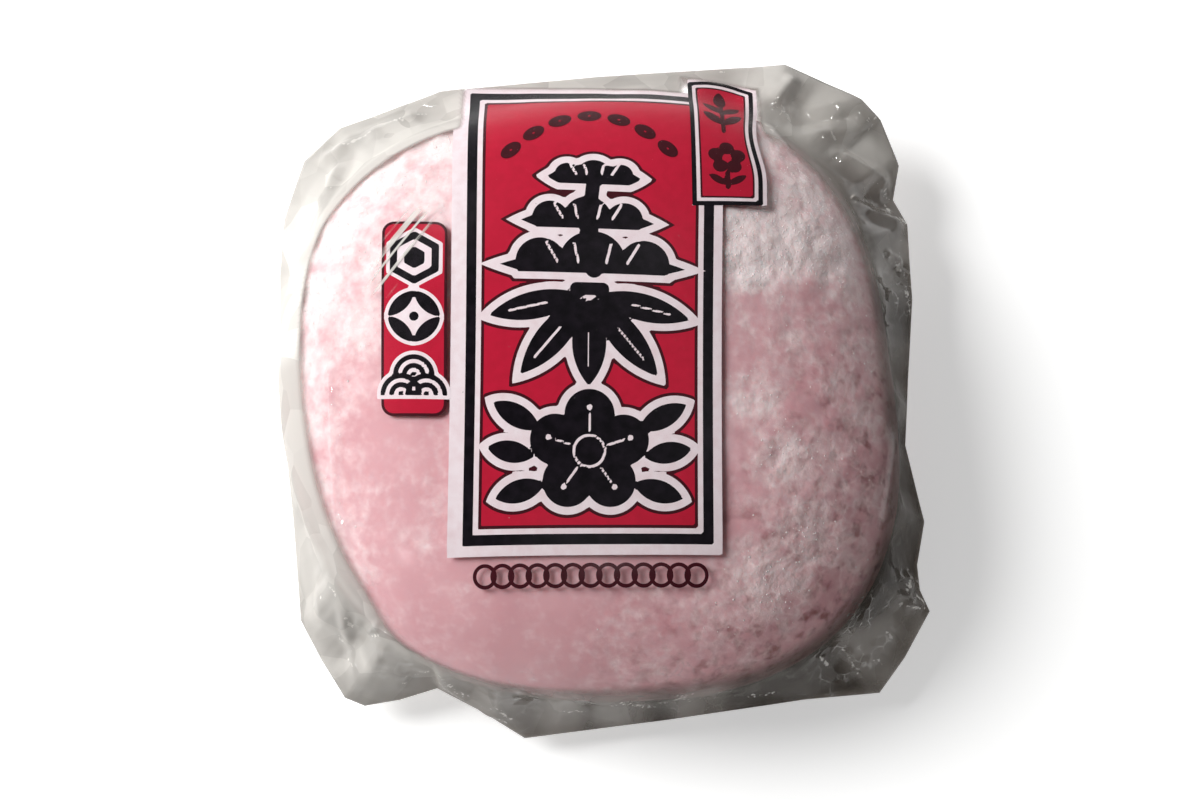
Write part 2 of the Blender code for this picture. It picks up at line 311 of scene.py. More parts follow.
def waist_reach(bearing):
    """The sweet's reach at its waist along a bearing."""
    waves = (c * math.cos(n * bearing) + s * math.sin(n * bearing) for n, c, s in WAIST_WAVES)
    return SWEET_REACH + sum(waves)


waist_reaches = np.vectorize(waist_reach)


def dome_point(reach, turn, top=SWEET_HEIGHT + FILM_GAP):
    """(reach, height) of the film on the sweet, or of the sweet where the top is its own.

    Turn is 0 at the waist and 90 degrees at the crown.
    """
    across = max(0.0, math.cos(turn)) ** (2 / SWEET_POWER)
    up = abs(math.sin(turn)) ** (2 / SWEET_POWER)
    if turn < 0:
        return reach * across, WAIST_HEIGHT * (1 - up)
    return reach * across, WAIST_HEIGHT + (top - WAIST_HEIGHT) * up


def rim_point(bearing):
    """(bearing, reach, height) of the rim: a corner's place if one is near, or the straight film by it."""
    near = math.pi / FILM_COLUMNS
    corners = [(math.atan2(y, x) % math.tau, math.hypot(x, y), z) for x, y, z in RIM_CORNERS]
    for corner in corners:
        if abs((corner[0] - bearing + math.pi) % math.tau - math.pi) <= near:
            return corner
    for i, (before, start, start_height) in enumerate(corners):
        after, end, end_height = corners[(i + 1) % len(corners)]
        span = (after - before) % math.tau
        along = (bearing - before) % math.tau
        if along < span:
            passed = start * math.sin(along)
            whole = passed + end * math.sin(span - along)
            height = start_height + (end_height - start_height) * passed / whole
            return bearing, start * end * math.sin(span) / whole, height
    raise ValueError("the rim's corners don't go once round")


def zigzag(turns):
    """A triangle wave between -1 and 1, one for each turn."""
    return 4 * abs(turns - math.floor(turns + 0.5)) - 1


def make_pleats():
    """A function that gives the pleats' wave, from about -1 to 1, at a bearing."""
    draw = random.Random(PLEAT_SEED)
    waves = [(count, draw.random(), draw.uniform(0.6, 1.0)) for count in PLEAT_COUNTS]
    total = sum(size for _, _, size in waves)

    def pleats(bearing):
        turns = bearing / math.tau
        return sum(size * zigzag(count * turns + start) for count, start, size in waves) / total

    return pleats


def shoulder_turn(reach, rim_reach, rim_height):
    """Where the film leaves the sweet: the steepest straight line up from the rim touches it there."""

    def slope(turn):
        across, height = dome_point(reach, turn)
        return math.atan2(height - rim_height, rim_reach - across)

    step = (HIGHEST_TANGENT - LOWEST_TANGENT) / TANGENT_STEPS
    return max((LOWEST_TANGENT + i * step for i in range(TANGENT_STEPS + 1)), key=slope)


def fin_share(gap):
    """How far the film is a fin, from 0 to 1, where the rim is a gap away from the sweet."""
    share = max(0.0, min(1.0, (gap - FIN_GAPS[0]) / (FIN_GAPS[1] - FIN_GAPS[0])))
    return share * share * (3 - 2 * share)


def under_point(reach, rim_reach, rim_height, share):
    """(reach, height) on the underside, at a share of the way from the rim back to the foot."""
    foot = reach * FOOT_SHARE
    turn = math.pi / 2 * share
    bow = foot + (rim_reach - foot) * max(0.0, math.cos(turn)) ** (2 / UNDER_POWER)
    bow_height = rim_height * (1 - math.sin(turn) ** (2 / UNDER_POWER))
    meet = math.asin(1 - FIN_DROP_SHARE * rim_height / WAIST_HEIGHT)
    turn = meet + (math.pi / 2 - meet) * max(0.0, 2 * share - 1)
    fin = foot + (reach - foot) * math.cos(turn)
    fin_height = WAIST_HEIGHT * (1 - math.sin(turn))
    if share < 0.5:
        fin = rim_reach + (fin - rim_reach) * 2 * share
        fin_height = rim_height + (fin_height - rim_height) * 2 * share
    whole = fin_share(rim_reach - reach)
    return bow + (fin - bow) * whole, bow_height + (fin_height - bow_height) * whole


def film_section(bearing, pleat):
    """The bearing, and (reach, height) of every ring along it, from the crown to the middle of the foot."""
    bearing, rim_reach, rim_height = rim_point(bearing)
    sweet = waist_reach(bearing) + FILM_GAP
    leave = shoulder_turn(sweet, rim_reach, rim_height)
    leave += (CLING_TURN - leave) * CLING_SHARE * fin_share(rim_reach - sweet)
    dome_rings, skirt_rings, under_rings, foot_rings = FILM_RINGS
    points = []
    for ring in range(dome_rings + 1):
        points.append(dome_point(sweet, math.pi / 2 + (leave - math.pi / 2) * ring / dome_rings))
    shoulder_reach, shoulder_height = points[-1]
    out = rim_reach - shoulder_reach
    down = shoulder_height - rim_height
    free = math.hypot(out, down)
    for ring in range(1, skirt_rings + 1):
        share = ring / skirt_rings
        push = 4 * share * (1 - share) * free * (PLEAT_SHARE * pleat - SAG_SHARE)
        lift = share**2 * RIM_LIFT_SHARE * PLEAT_SHARE * out * pleat
        reach = shoulder_reach + out * share + push * down / free
        points.append((reach, shoulder_height - down * share + push * out / free + lift))
    rim_height = points[-1][1]
    for ring in range(1, under_rings):
        points.append(under_point(sweet, rim_reach, rim_height, ring / under_rings))
    for ring in range(foot_rings + 1):
        points.append((sweet * FOOT_SHARE * (1 - ring / foot_rings), 0.0))
    return bearing, points


def sweet_section(bearing):
    """(reach, height) of the bare sweet along a bearing, from the crown to the middle of its foot."""
    reach = waist_reach(bearing)
    foot = reach * SWEET_FOOT_SHARE
    top_rings, side_rings, foot_rings = SWEET_RINGS
    points = []
    for ring in range(top_rings + 1):
        points.append(dome_point(reach, math.pi / 2 * (1 - ring / top_rings), SWEET_HEIGHT))
    for ring in range(1, side_rings + 1):
        turn = math.pi / 2 * ring / side_rings
        height = WAIST_HEIGHT - (WAIST_HEIGHT - SWEET_FLOOR) * math.sin(turn)
        points.append((foot + (reach - foot) * math.cos(turn), height))
    for ring in range(1, foot_rings + 1):
        points.append((foot * (1 - ring / foot_rings), SWEET_FLOOR))
    return points


def smooth(low, high, value):
    """0 below low, 1 above high, and an S curve between them."""
    share = np.clip((value - low) / (high - low), 0.0, 1.0)
    return share * share * (3 - 2 * share)


def turned_mesh(name, places, values):
    """A closed mesh from rings of places in millimetres, the first and last ring being one point each.

    Values holds a number for every place, by the name of the attribute that keeps it.
    """
    rings, columns = places.shape[:2]
    inner = places[1:-1].reshape(-1, 3)
    vertices = np.vstack([places[0, :1], inner, places[-1, :1]]) * MM
    last = len(vertices) - 1
    column = np.arange(columns)
    after = (column + 1) % columns
    start = 1 + np.arange(rings - 3)[:, None] * columns
    corners = (start + column, start + columns + column, start + columns + after, start + after)
    quads = np.stack(corners, axis=-1)
    bottom = 1 + (rings - 3) * columns
    caps = [(0, int(1 + a), int(1 + b)) for a, b in zip(column, after)]
    caps += [(last, int(bottom + b), int(bottom + a)) for a, b in zip(column, after)]
    mesh = bpy.data.meshes.new(name)
    mesh.from_pydata(vertices.tolist(), [], quads.reshape(-1, 4).tolist() + caps)
    for key, grid in values.items():
        flat = np.concatenate([grid[0, :1], grid[1:-1].reshape(-1), grid[-1, :1]])
        attribute = mesh.attributes.new(key, "FLOAT", "POINT")
        attribute.data.foreach_set("value", flat.astype(np.float32))
    mesh.shade_smooth()
    return mesh


def add_piece(name, mesh, material, slot):
    """An object in the scene that rides with the wrapper, with the given material where its mesh has none.
    Its slot is not used.
    """
    if not mesh.polygons:
        raise RuntimeError(f"{name} has no faces")
    mesh.name = name
    if not mesh.materials:
        mesh.materials.append(material)
    piece = bpy.data.objects.new(name, mesh)
    bpy.context.scene.collection.objects.link(piece)
    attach(piece, BODY)
    return piece


def facet_field(cell, seed):
    """Flat random facets on the strip of free film, which closes on itself.

    Returns a function of the way along and across the strip. It gives the film's height there, from -1 to 1,
    the facet's own tone, from 0 to 1, and how sharply a crease shows, from 0 to 1.
    """
    draw = np.random.default_rng(seed)
    length = math.tau * FIELD_ARC
    columns = round(length / cell[0])
    rows = math.ceil(FIELD_WIDTH / cell[1]) + 3
    shift = draw.uniform(-FACET_SHIFT, FACET_SHIFT, (columns, rows, 2))
    height = draw.uniform(-1, 1, (columns, rows))
    turned = draw.random((columns, rows)) < 0.5
    tones = draw.random((columns, rows, 2))
    crease_tones = draw.random(3 * columns * rows)
    points = []
    for i in range(-2, columns + 3):
        for j in range(rows):
            dx, dy = shift[i % columns, j]
            x = (i + dx + 0.5 * (j % 2)) * length / columns
            points.append((x, (j - 1 + dy) * cell[1], height[i % columns, j]))
    faces = []
    face_tones = []
    for i in range(columns + 4):
        for j in range(rows - 1):
            a, b = i * rows + j, (i + 1) * rows + j
            wrap = (i - 2) % columns
            if turned[wrap, j]:
                faces += [(a, b, b + 1), (a, b + 1, a + 1)]
            else:
                faces += [(a, b, a + 1), (b, b + 1, a + 1)]
            face_tones += [tones[wrap, j, 0], tones[wrap, j, 1]]
    tree = BVHTree.FromPolygons(points, faces)

    def crease(face, x, y):
        """How strongly the nearest of a facet's creases shows."""
        strongest = 0.0
        corners = faces[face]
        for k in range(3):
            a, b = corners[k], corners[(k + 1) % 3]
            (ax, ay, _), (bx, by, _) = points[a], points[b]
            away = abs((bx - ax) * (y - ay) - (by - ay) * (x - ax)) / math.hypot(bx - ax, by - ay)
            if away < CREASE_WIDTH:
                wrapped = (a + b - 4 * rows) % (columns * rows * 2)
                strength = max(0.0, 2.2 * crease_tones[wrapped] - 1.2)  # more than half of them don't show
                strongest = max(strongest, strength * (1 - away / CREASE_WIDTH))
        return strongest

    def field(along, across):
        if across < -cell[1] / 2:
            return 0.0, 0.5, 0.0
        hit, _, face, _ = tree.ray_cast(Vector((along, across, 5.0)), Vector((0, 0, -1)))
        if hit is None:
            return 0.0, 0.5, 0.0
        return hit.z, face_tones[face], crease(face, along, across)

    return field


def sample(field, along, across):
    """A field's heights, tones and creases over two grids of places."""
    found = [field(a, b) for a, b in zip(along.ravel().tolist(), across.ravel().tolist())]
    grids = np.array(found).reshape(*along.shape, 3)
    return grids[..., 0], grids[..., 1], grids[..., 2]


def ridges(x, y, folds):
    """The height of straight folds over a plan. Each one tapers to its ends and to its sides."""
    height = np.zeros_like(x)
    for ax, ay, bx, by, rise, half_width in folds:
        away, share = segment_distance(x, y, ax, ay, bx, by)
        taper = smooth(0.0, 0.25, share) * smooth(1.0, 0.75, share)
        height += rise * np.clip(1 - away / half_width, 0, 1) * taper
    return height


def segment_distance(x, y, ax, ay, bx, by):
    """The distance from places to a straight line's stretch, and how far along it they are, from 0 to 1."""
    dx, dy = bx - ax, by - ay
    share = np.clip(((x - ax) * dx + (y - ay) * dy) / (dx * dx + dy * dy), 0, 1)
    return np.hypot(x - ax - share * dx, y - ay - share * dy), share


def depth_inside(x, y, corners):
    """How far places lie inside a box with its corners given clockwise. It is below zero outside."""
    depth = np.full_like(x, FIELD_WIDTH)
    for (ax, ay), (bx, by) in zip(corners, corners[1:] + corners[:1]):
        dx, dy = bx - ax, by - ay
        depth = np.minimum(depth, (dy * (x - ax) - dx * (y - ay)) / math.hypot(dx, dy))
    return depth


def under_label(x, y):
    """1 where the print keeps the film flat, and 0 well outside it."""
    depth = np.maximum(depth_inside(x, y, PANEL_CORNERS), depth_inside(x, y, FLAG_CORNERS))
    return smooth(-3.0, -0.5, depth)


def is_printed(x, y):
    """1 where a label covers the film, and 0 outside it."""
    panel = smooth(-1.3, -0.5, depth_inside(x, y, PANEL_CORNERS))
    return np.maximum(panel, smooth(-1.1, -0.3, depth_inside(x, y, FLAG_CORNERS)))


def soften(grid, times):
    """A grid round the wrapper with each place eased towards its neighbours."""
    for _ in range(times):
        grid = (grid + np.roll(grid, 1, axis=1) + np.roll(grid, -1, axis=1)) / 3
        grid[1:-1] = (grid[:-2] + grid[1:-1] + grid[2:]) / 3
    return grid


def ease_rings(grid, share, times):
    """A grid with each place eased, by a share, towards the rings above and below it."""
    for _ in range(times):
        grid[1:-1] += share[1:-1] * (grid[:-2] + grid[2:] - 2 * grid[1:-1]) / 4
    return grid


def marks(x, y, lines):
    """How strongly sharp lines show over a plan, from 0 to 1."""
    strongest = np.zeros_like(x)
    for ax, ay, bx, by, half_width, strength in lines:
        away, share = segment_distance(x, y, ax, ay, bx, by)
        wander = 0.75 + 0.25 * np.sin(share * 9 + ax)
        strongest = np.maximum(strongest, strength * wander * np.clip(1.3 - away / half_width, 0, 1))
    return strongest


def places_sum(x, y, places):
    """The sum over a plan of soft round places, given as x, y, radius and amount."""
    total = np.zeros_like(x)
    for px, py, radius, amount in places:
        total += amount * smooth(1.3, 0.5, np.hypot(x - px, y - py) / radius)
    return total


def make_film_mesh(settings):
    """The wrapper's own form on a fine grid, with facets in the free film and tension folds on the sweet."""
    # Its plain form, as rings of reach and height
    pleats = make_pleats()
    bearings = []
    sections = []
    for column in range(FILM_COLUMNS):
        nominal = column * math.tau / FILM_COLUMNS
        calm = float(smooth(LABEL_TURN[1], LABEL_TURN[0], abs(nominal - math.pi / 2)))
        bearing, points = film_section(nominal, pleats(nominal) * (1 - LABEL_CALM * calm))
        bearings.append(bearing)
        sections.append(points)
    bearing = np.array(bearings)[None, :]
    grid = np.array(sections).transpose(1, 0, 2)
    reach, height = grid[..., 0].copy(), grid[..., 1].copy()
    dome, skirt, under, _ = FILM_RINGS
    rings = len(reach)
    step = np.hypot(np.diff(reach, axis=0), np.diff(height, axis=0))
    passed = np.vstack([np.zeros((1, FILM_COLUMNS)), np.cumsum(step, axis=0)])
    across = passed - passed[dome]
    ring = np.arange(rings)[:, None] + np.zeros((1, FILM_COLUMNS))
    skirt_share = (ring - dome) / skirt
    under_share = (ring - dome - skirt) / under
    # How far each place may be pushed: in full in the free film, and less under the print and near the sweet
    window = smooth(0.0, 0.35, skirt_share) * smooth(1.0, 0.75, skirt_share)
    window += 0.6 * smooth(0.0, 0.3, under_share) * (1 - smooth(0.45, 0.8, under_share))
    window[under_share > 0.8] = 0.0
    x, y = reach * np.cos(bearing), reach * np.sin(bearing)
    gap = reach[dome + skirt] - waist_reaches(bearing)
    wide = 0.3 + 0.7 * smooth(2.0, 7.0, gap)
    flat = under_label(x, y)
    window *= (1 - 0.9 * flat) * wide
    # The facets, folds and soft bumps that push it out
    along = np.broadcast_to((bearing % math.tau) * FIELD_ARC, reach.shape)
    folds, tone, creases = sample(facet_field(FOLD_CELL, FOLD_SEED), along, across)
    crinkles, _, fine_creases = sample(facet_field(CRINKLE_CELL, CRINKLE_SEED), along, across)
    tone = 0.5 + (soften(tone, 4) - 0.5) * wide
    push = window * soften(folds * settings.fold_depth + crinkles * settings.crinkle_depth, 2) / MM
    on_dome = smooth(dome + 6, dome - 9, ring)
    upper = ring <= dome + skirt
    off_rim = upper * smooth(1.0, 0.85, skirt_share)
    push = push + ridges(x, y, FREE_FOLDS) * off_rim * smooth(0.0, 0.2, skirt_share)
    push = push + ridges(x, y, TENSION_FOLDS) * (height > WAIST_HEIGHT)
    bare = 1 - is_printed(x, y)
    white = marks(x, y, WHITE_CREASES_AND_GLINTS) * upper * bare
    push = push + CREASE_RISE * white * off_rim
    slack_x, slack_y = SLACK_CELL
    bumps = [noise.noise(Vector((a / slack_x, b / slack_y, 4.0))) for a, b in zip(x.ravel(), y.ravel())]
    slack = np.array(bumps).reshape(x.shape)
    push = push + SLACK_DEPTH * np.clip(slack + 0.3, 0, 1) * on_dome * (1 - 0.7 * flat)
    run = np.gradient(reach, axis=0)
    drop = np.gradient(height, axis=0)
    length = np.maximum(np.hypot(run, drop), 1e-6)
    reach = reach - drop / length * push
    height = np.maximum(height + run / length * push, 0.0)
    # It is rounded off where it leaves the sweet
    label_edge = flat * smooth(dome - 16, dome - 3, ring) * smooth(1.0, 0.5, skirt_share)
    bare_edge = smooth(dome - 8, dome - 1, ring) * smooth(0.3, 0.05, skirt_share)
    ease = np.maximum(label_edge, 0.2 * bare_edge)
    reach, height = [ease_rings(grid, ease, EASE_PASSES) for grid in (reach, height)]
    reach, height = keep_off_sweet(bearing, reach, height)
    places = np.stack([reach * np.cos(bearing), reach * np.sin(bearing), height], axis=-1)
    places[0] = places[0].mean(axis=0)
    places[-1] = places[-1].mean(axis=0)
    # What its material reads
    # The gloss is cut on the side away from the window: painted shade
    painted_shade_on_gloss = 1 - 0.55 * smooth(0.35, 1.0, (0.8 * x - 0.6 * y) / HALF_WIDTH)
    tension = ridges(x, y, [(*fold[:4], 1.0, fold[5]) for fold in TENSION_FOLDS]) * (height > WAIST_HEIGHT)
    # The film's hazing by its side: whiter towards the window and clearer away from it, as painted light and
    # shade
    toward = -0.8 * x / HALF_WIDTH + 0.6 * y / HALF_WIDTH
    side = np.interp(toward, PAINTED_LIGHT_SIDES, HAZE_WITH_PAINTED_LIGHT_AMOUNTS)
    # Painted light and shade from the listed places
    painted_light_and_shade = places_sum(x, y, FILM_PAINTED_LIGHT_AND_SHADE)
    # How far past the sweet's edge the film looks from there, and where it starts and ends to look free. It
    # starts further in on the side away from the window, so that its smoky tint darkens the sweet's edge
    # there as painted shade
    ahead = y + VIEW_LEAN * (height - WAIST_HEIGHT)
    beyond = np.hypot(x, ahead) - waist_reaches(np.arctan2(ahead, x))
    left = smooth(0.65, 0.95, (-0.95 * x - 0.3 * y) / HALF_WIDTH) * smooth(-32, -24, y)
    upper_right = smooth(0.75, 1.05, (0.75 * x + 0.66 * y) / HALF_WIDTH)
    start = -1.3 - 1.8 * smooth(0.2, 0.9, -toward) - 1.2 * upper_right - 3.0 * left
    end = -0.3 - 0.4 * smooth(0.0, 0.5, toward) - 2.0 * left
    free = smooth(start, end, beyond) * bare
    # Creases that show white, partly as stress-whitening and partly as painted glints
    crease = np.clip(0.6 * (creases + 0.4 * fine_creases) * np.clip(window, 0, 1) + white, 0, 1)
    # Starch hazing, raised towards the window and at the listed places as painted light, and cut away from it
    # as painted shade
    haze = side * np.clip(0.66 + 0.68 * tone + 0.9 * painted_light_and_shade, 0.1, 2.0) + 0.18 * np.clip(painted_light_and_shade, 0, 1)
    crumple = (0.2 * smooth(0.0, 0.2, skirt_share) + places_sum(x, y, CRUMPLED_PLACES)) * upper * bare
    values = {
        "free": free,
        "layer": np.where(skirt_share > 1, LAYER_SHARES[1], LAYER_SHARES[0]),
        # Each facet's own tone, with painted light and shade from the listed places
        "tone": np.clip(0.5 + 0.8 * (tone - 0.5) - 0.6 * painted_light_and_shade, 0, 1),
        "haze": np.clip(haze * free, 0, MOST_HAZE),
        # Painted highlights in streaks on the sweet
        "glare": np.clip(places_sum(x, y, GLARE_PLACES), 0, 1) * on_dome,
        "crease": crease,
        "crumple": np.clip(crumple, 0, 1),
        "shine": np.clip(0.25 + 0.75 * window + 1.5 * tension, 0, 1) * (0.1 + 0.9 * bare) * painted_shade_on_gloss,
    }
    return turned_mesh("clear_film", places, values)


def keep_off_sweet(bearing, reach, height):
    """Moves what the folds pushed into the sweet back to just outside it."""
    waist = waist_reaches(bearing) + FILM_CLEAR
    rise = np.where(height > WAIST_HEIGHT, SWEET_HEIGHT + FILM_CLEAR - WAIST_HEIGHT, WAIST_HEIGHT)
    up = (height - WAIST_HEIGHT) / rise
    filled = (reach / waist) ** SWEET_POWER + np.abs(up) ** SWEET_POWER
    inside = (filled < 1) & (height > WAIST_HEIGHT)
    grow = np.where(inside, np.maximum(filled, 1e-6) ** (-1 / SWEET_POWER), 1.0)
    reach = reach * grow
    below = (WAIST_HEIGHT - height) / (WAIST_HEIGHT - SWEET_FLOOR)
    foot = waist * SWEET_FOOT_SHARE
    flank = foot + (waist - foot) * np.sqrt(np.clip(1 - below**2, 0, 1))
    beside = (height <= WAIST_HEIGHT) & (height > SWEET_FLOOR)
    reach = np.where(beside, np.maximum(reach, flank), reach)
    return reach, np.where(inside, WAIST_HEIGHT + (height - WAIST_HEIGHT) * grow, height)


def dusting(x, y, height):
    """How much starch lies at a place on the sweet, from 0 to about 1."""
    amount = 0.0
    for px, py, radius, size in DUSTED_PLACES:
        away = math.hypot(x - px, y - py) / radius
        amount = max(amount, size * (1 - min(away, 1.0) ** 2))
    low = max(0.0, min(1.0, (WAIST_HEIGHT + FLANK_FADE / 2 - height) / FLANK_FADE))
    return max(amount, FLANK_DUST * low)


def make_sweet_mesh(settings):
    """The sweet: a soft dome that sags a little, with dents and a lumpy coat of starch where it is dusted."""
    places = []
    dust = []
    lump_depth = settings.lump_depth / MM
    coat_depth = settings.coat_depth / MM
    bearings = [column * math.tau / SWEET_COLUMNS for column in range(SWEET_COLUMNS)]
    sections = [sweet_section(bearing) for bearing in bearings]
    for ring in zip(*sections):
        ring_places = []
        ring_dust = []
        for bearing, (reach, height) in zip(bearings, ring):
            x, y = reach * math.cos(bearing), reach * math.sin(bearing)
            place = Vector((x, y, height))
            amount = dusting(x, y, height)
            crownward = float(smooth(0.25, 0.8, (height - WAIST_HEIGHT) / (SWEET_HEIGHT - WAIST_HEIGHT)))
            lump = lump_depth * (0.5 + 0.5 * noise.noise(place / LUMP_CELL)) * (0.15 + 0.85 * crownward)
            grain = noise.turbulence(place / GRAIN_CELL, 3, False, noise_basis="PERLIN_ORIGINAL")
            coat = coat_depth * min(1.0, amount) * (grain - 0.35)
            fuller = WAIST_FULLNESS * (1 - crownward) + min(0.04, coat - lump)
            up = (height - WAIST_HEIGHT) / PUSH_HEIGHT**2
            outward = Vector((x / SWEET_REACH**2, y / SWEET_REACH**2, up)).normalized()
            place += outward * fuller
            place.z = max(place.z, SWEET_FLOOR)
            ring_places.append(place[:])
            ring_dust.append(amount)
        places.append(ring_places)
        dust.append(ring_dust)
    places = np.array(places)
    places[0] = places[0].mean(axis=0)
    places[-1] = places[-1].mean(axis=0)
    return turned_mesh("mochi", places, {"dusting": np.array(dust)})


# Print: fields that are below zero inside a shape, on arrays of places in a box's own millimetres


def circle(x, y, cx, cy, radius):
    return np.hypot(x - cx, y - cy) - radius


def stroke(x, y, ax, ay, bx, by, half_width):
    """A line's stretch with round ends."""
    return segment_distance(x, y, ax, ay, bx, by)[0] - half_width


def box(x, y, half_width, half_height, radius=0.0):
    """A box about the middle, with round corners."""
    dx = np.abs(x) - half_width + radius
    dy = np.abs(y) - half_height + radius
    outside = np.hypot(np.maximum(dx, 0), np.maximum(dy, 0))
    return outside + np.minimum(np.maximum(dx, dy), 0) - radius


def leaf(x, y, ax, ay, bx, by, width):
    """A pointed leaf from one place to another: where two discs cross."""
    length = math.hypot(bx - ax, by - ay)
    radius = (length * length / 4 + width * width / 4) / width
    cx, cy = (ax + bx) / 2, (ay + by) / 2
    nx, ny = (ay - by) / length, (bx - ax) / length
    off = radius - width / 2
    first = circle(x, y, cx + nx * off, cy + ny * off, radius)
    second = circle(x, y, cx - nx * off, cy - ny * off, radius)
    return np.maximum(first, second)


def union(*fields):
    return np.minimum.reduce(fields)


def pine(x, y):
    """A pine in three clouds of needles, one over the other, on a short trunk."""
    clouds = []
    for cx, base, reach in ((0.3, 4.4, 5.4), (-0.4, -1.2, 7.6), (0.2, -6.6, 10.6)):
        lobes = [leaf(x, y, cx - reach, base + 0.5, cx + reach, base + 0.5, 3.6)]
        for place, radius in ((-0.56, 0.27), (0.0, 0.36), (0.56, 0.27)):
            lobes.append(circle(x, y, cx + place * reach, base + 0.9, radius * reach))
        cloud = np.maximum(union(*lobes), base - 0.35 - y)
        for place in (-0.5, -0.2, 0.2, 0.5):
            start = (cx + 0.75 * place * reach, base + 0.9)
            tip = (cx + place * reach, base + 0.9 + 0.22 * reach)
            cloud = np.maximum(cloud, -stroke(x, y, *start, *tip, 0.17))
        clouds.append(cloud)
    trunk = union(stroke(x, y, 0.3, 5.0, -0.3, -1.0, 0.8), stroke(x, y, -0.3, -1.5, 0.4, -6.5, 1.0))
    return union(*clouds, trunk)


def bamboo(x, y):
    """Five bamboo leaves that hang from one joint."""
    blades = []
    for turn, length, width in ((-77, 11.8, 3.2), (-40, 12.2, 3.5), (0, 10.6, 3.9), (40, 12.2, 3.5),
                                (77, 11.8, 3.2)):
        slant = math.radians(turn)
        root, middle, far, tip = [(math.sin(slant) * away, 4.4 - math.cos(slant) * away)
                                  for away in (0.6, 0.42 * length, 0.8 * length, length)]
        blade = leaf(x, y, *root, *tip, width)
        blades.append(np.maximum(blade, -stroke(x, y, *middle, *far, 0.15)))
    joint = stroke(x, y, -1.5, 5.0, 1.5, 5.0, 0.75)
    return union(*blades, joint)


def plum(x, y):
    """A plum blossom of five round petals between two pairs of leaves."""
    petals = []
    slits = []
    for i in range(5):
        turn = math.radians(90 + 72 * i)
        away = (math.cos(turn), math.sin(turn))
        petals.append(circle(x, y, 4.1 * away[0], 4.1 * away[1], 2.85))
        slits.append(stroke(x, y, 2.3 * away[0], 2.3 * away[1], 4.2 * away[0], 4.2 * away[1], 0.15))
        slits.append(circle(x, y, 4.9 * away[0], 4.9 * away[1], 0.34))
    ring = np.abs(circle(x, y, 0, 0, 1.75)) - 0.16
    flower = np.maximum(union(*petals, circle(x, y, 0, 0, 3.2)), -union(ring, *slits))
    sprigs = []
    for side in (-1, 1):
        sprigs.append(leaf(x, y, side * 5.6, 2.4, side * 11.0, 5.4, 2.5))
        sprigs.append(leaf(x, y, side * 6.2, -0.6, side * 11.6, 0.4, 2.4))
        sprigs.append(leaf(x, y, side * 5.0, -3.6, side * 10.6, -5.2, 2.5))
    return union(flower, *sprigs)


def hexagon(x, y, cx, cy, reach):
    """A six-sided field with its points up and down."""
    dx, dy = np.abs(x - cx), np.abs(y - cy)
    return np.maximum(dx, dx * 0.5 + dy * math.cos(math.pi / 6)) - reach * math.cos(math.pi / 6)


def shell_crest(x, y, cy):
    """A six-sided shell pattern: an outline round a small shell."""
    outer = np.abs(hexagon(x, y, 0, cy, 2.75)) - 0.42
    return union(outer, hexagon(x, y, 0, cy, 1.35))


def linked_crest(x, y, cy):
    """Four leaves in a ring, as where five linked rings cross, about a small disc."""
    turns = [math.radians(90 * i) for i in range(5)]
    tips = [(3.0 * math.cos(turn), cy + 3.0 * math.sin(turn)) for turn in turns]
    leaves = [leaf(x, y, *start, *end, 1.6) for start, end in zip(tips, tips[1:])]
    return union(*leaves, circle(x, y, 0, cy, 0.55))


def wave_crest(x, y, cy):
    """Sea waves: arcs inside arcs, in two rows."""
    arcs = []
    for cx, base in ((0.0, cy - 0.2), (-1.45, cy - 2.4), (1.45, cy - 2.4)):
        rows = [np.abs(circle(x, y, cx, base, radius)) - 0.28 for radius in (2.1, 1.1)]
        arcs.append(np.maximum(union(*rows, circle(x, y, cx, base, 0.38)), base - 0.1 - y))
    return union(*arcs)


def make_box_map(corners, size, draw_in=0.0):
    """Takes places in a box's own millimetres, from its middle, to the plan of the film."""
    top_left, top_right, bottom_right, bottom_left = [np.array(c) for c in corners]

    def to_plan(places):
        t = 0.5 - (places[..., 1:2] / size[1])
        narrower = 1 - draw_in * np.clip(4 * t * (1 - t), 0, 1)
        s = (places[..., :1] / size[0]) * narrower + 0.5
        top = top_left + (top_right - top_left) * s
        bottom = bottom_left + (bottom_right - bottom_left) * s
        return top + (bottom - top) * t

    return to_plan


def cell_triangles(half_width, half_height):
    """A sheet of small triangles about the middle, as an array of corners."""
    columns = round(2 * half_width / PRINT_CELL)
    rows = round(2 * half_height / PRINT_CELL)
    x = np.linspace(-half_width, half_width, columns + 1)
    y = np.linspace(-half_height, half_height, rows + 1)
    grid = np.stack(np.meshgrid(x, y, indexing="ij"), axis=-1)
    a, b, c, d = grid[:-1, :-1], grid[1:, :-1], grid[1:, 1:], grid[:-1, 1:]
    lower = np.stack([a, b, c], axis=-2).reshape(-1, 3, 2)
    upper = np.stack([a, c, d], axis=-2).reshape(-1, 3, 2)
    return np.concatenate([lower, upper])


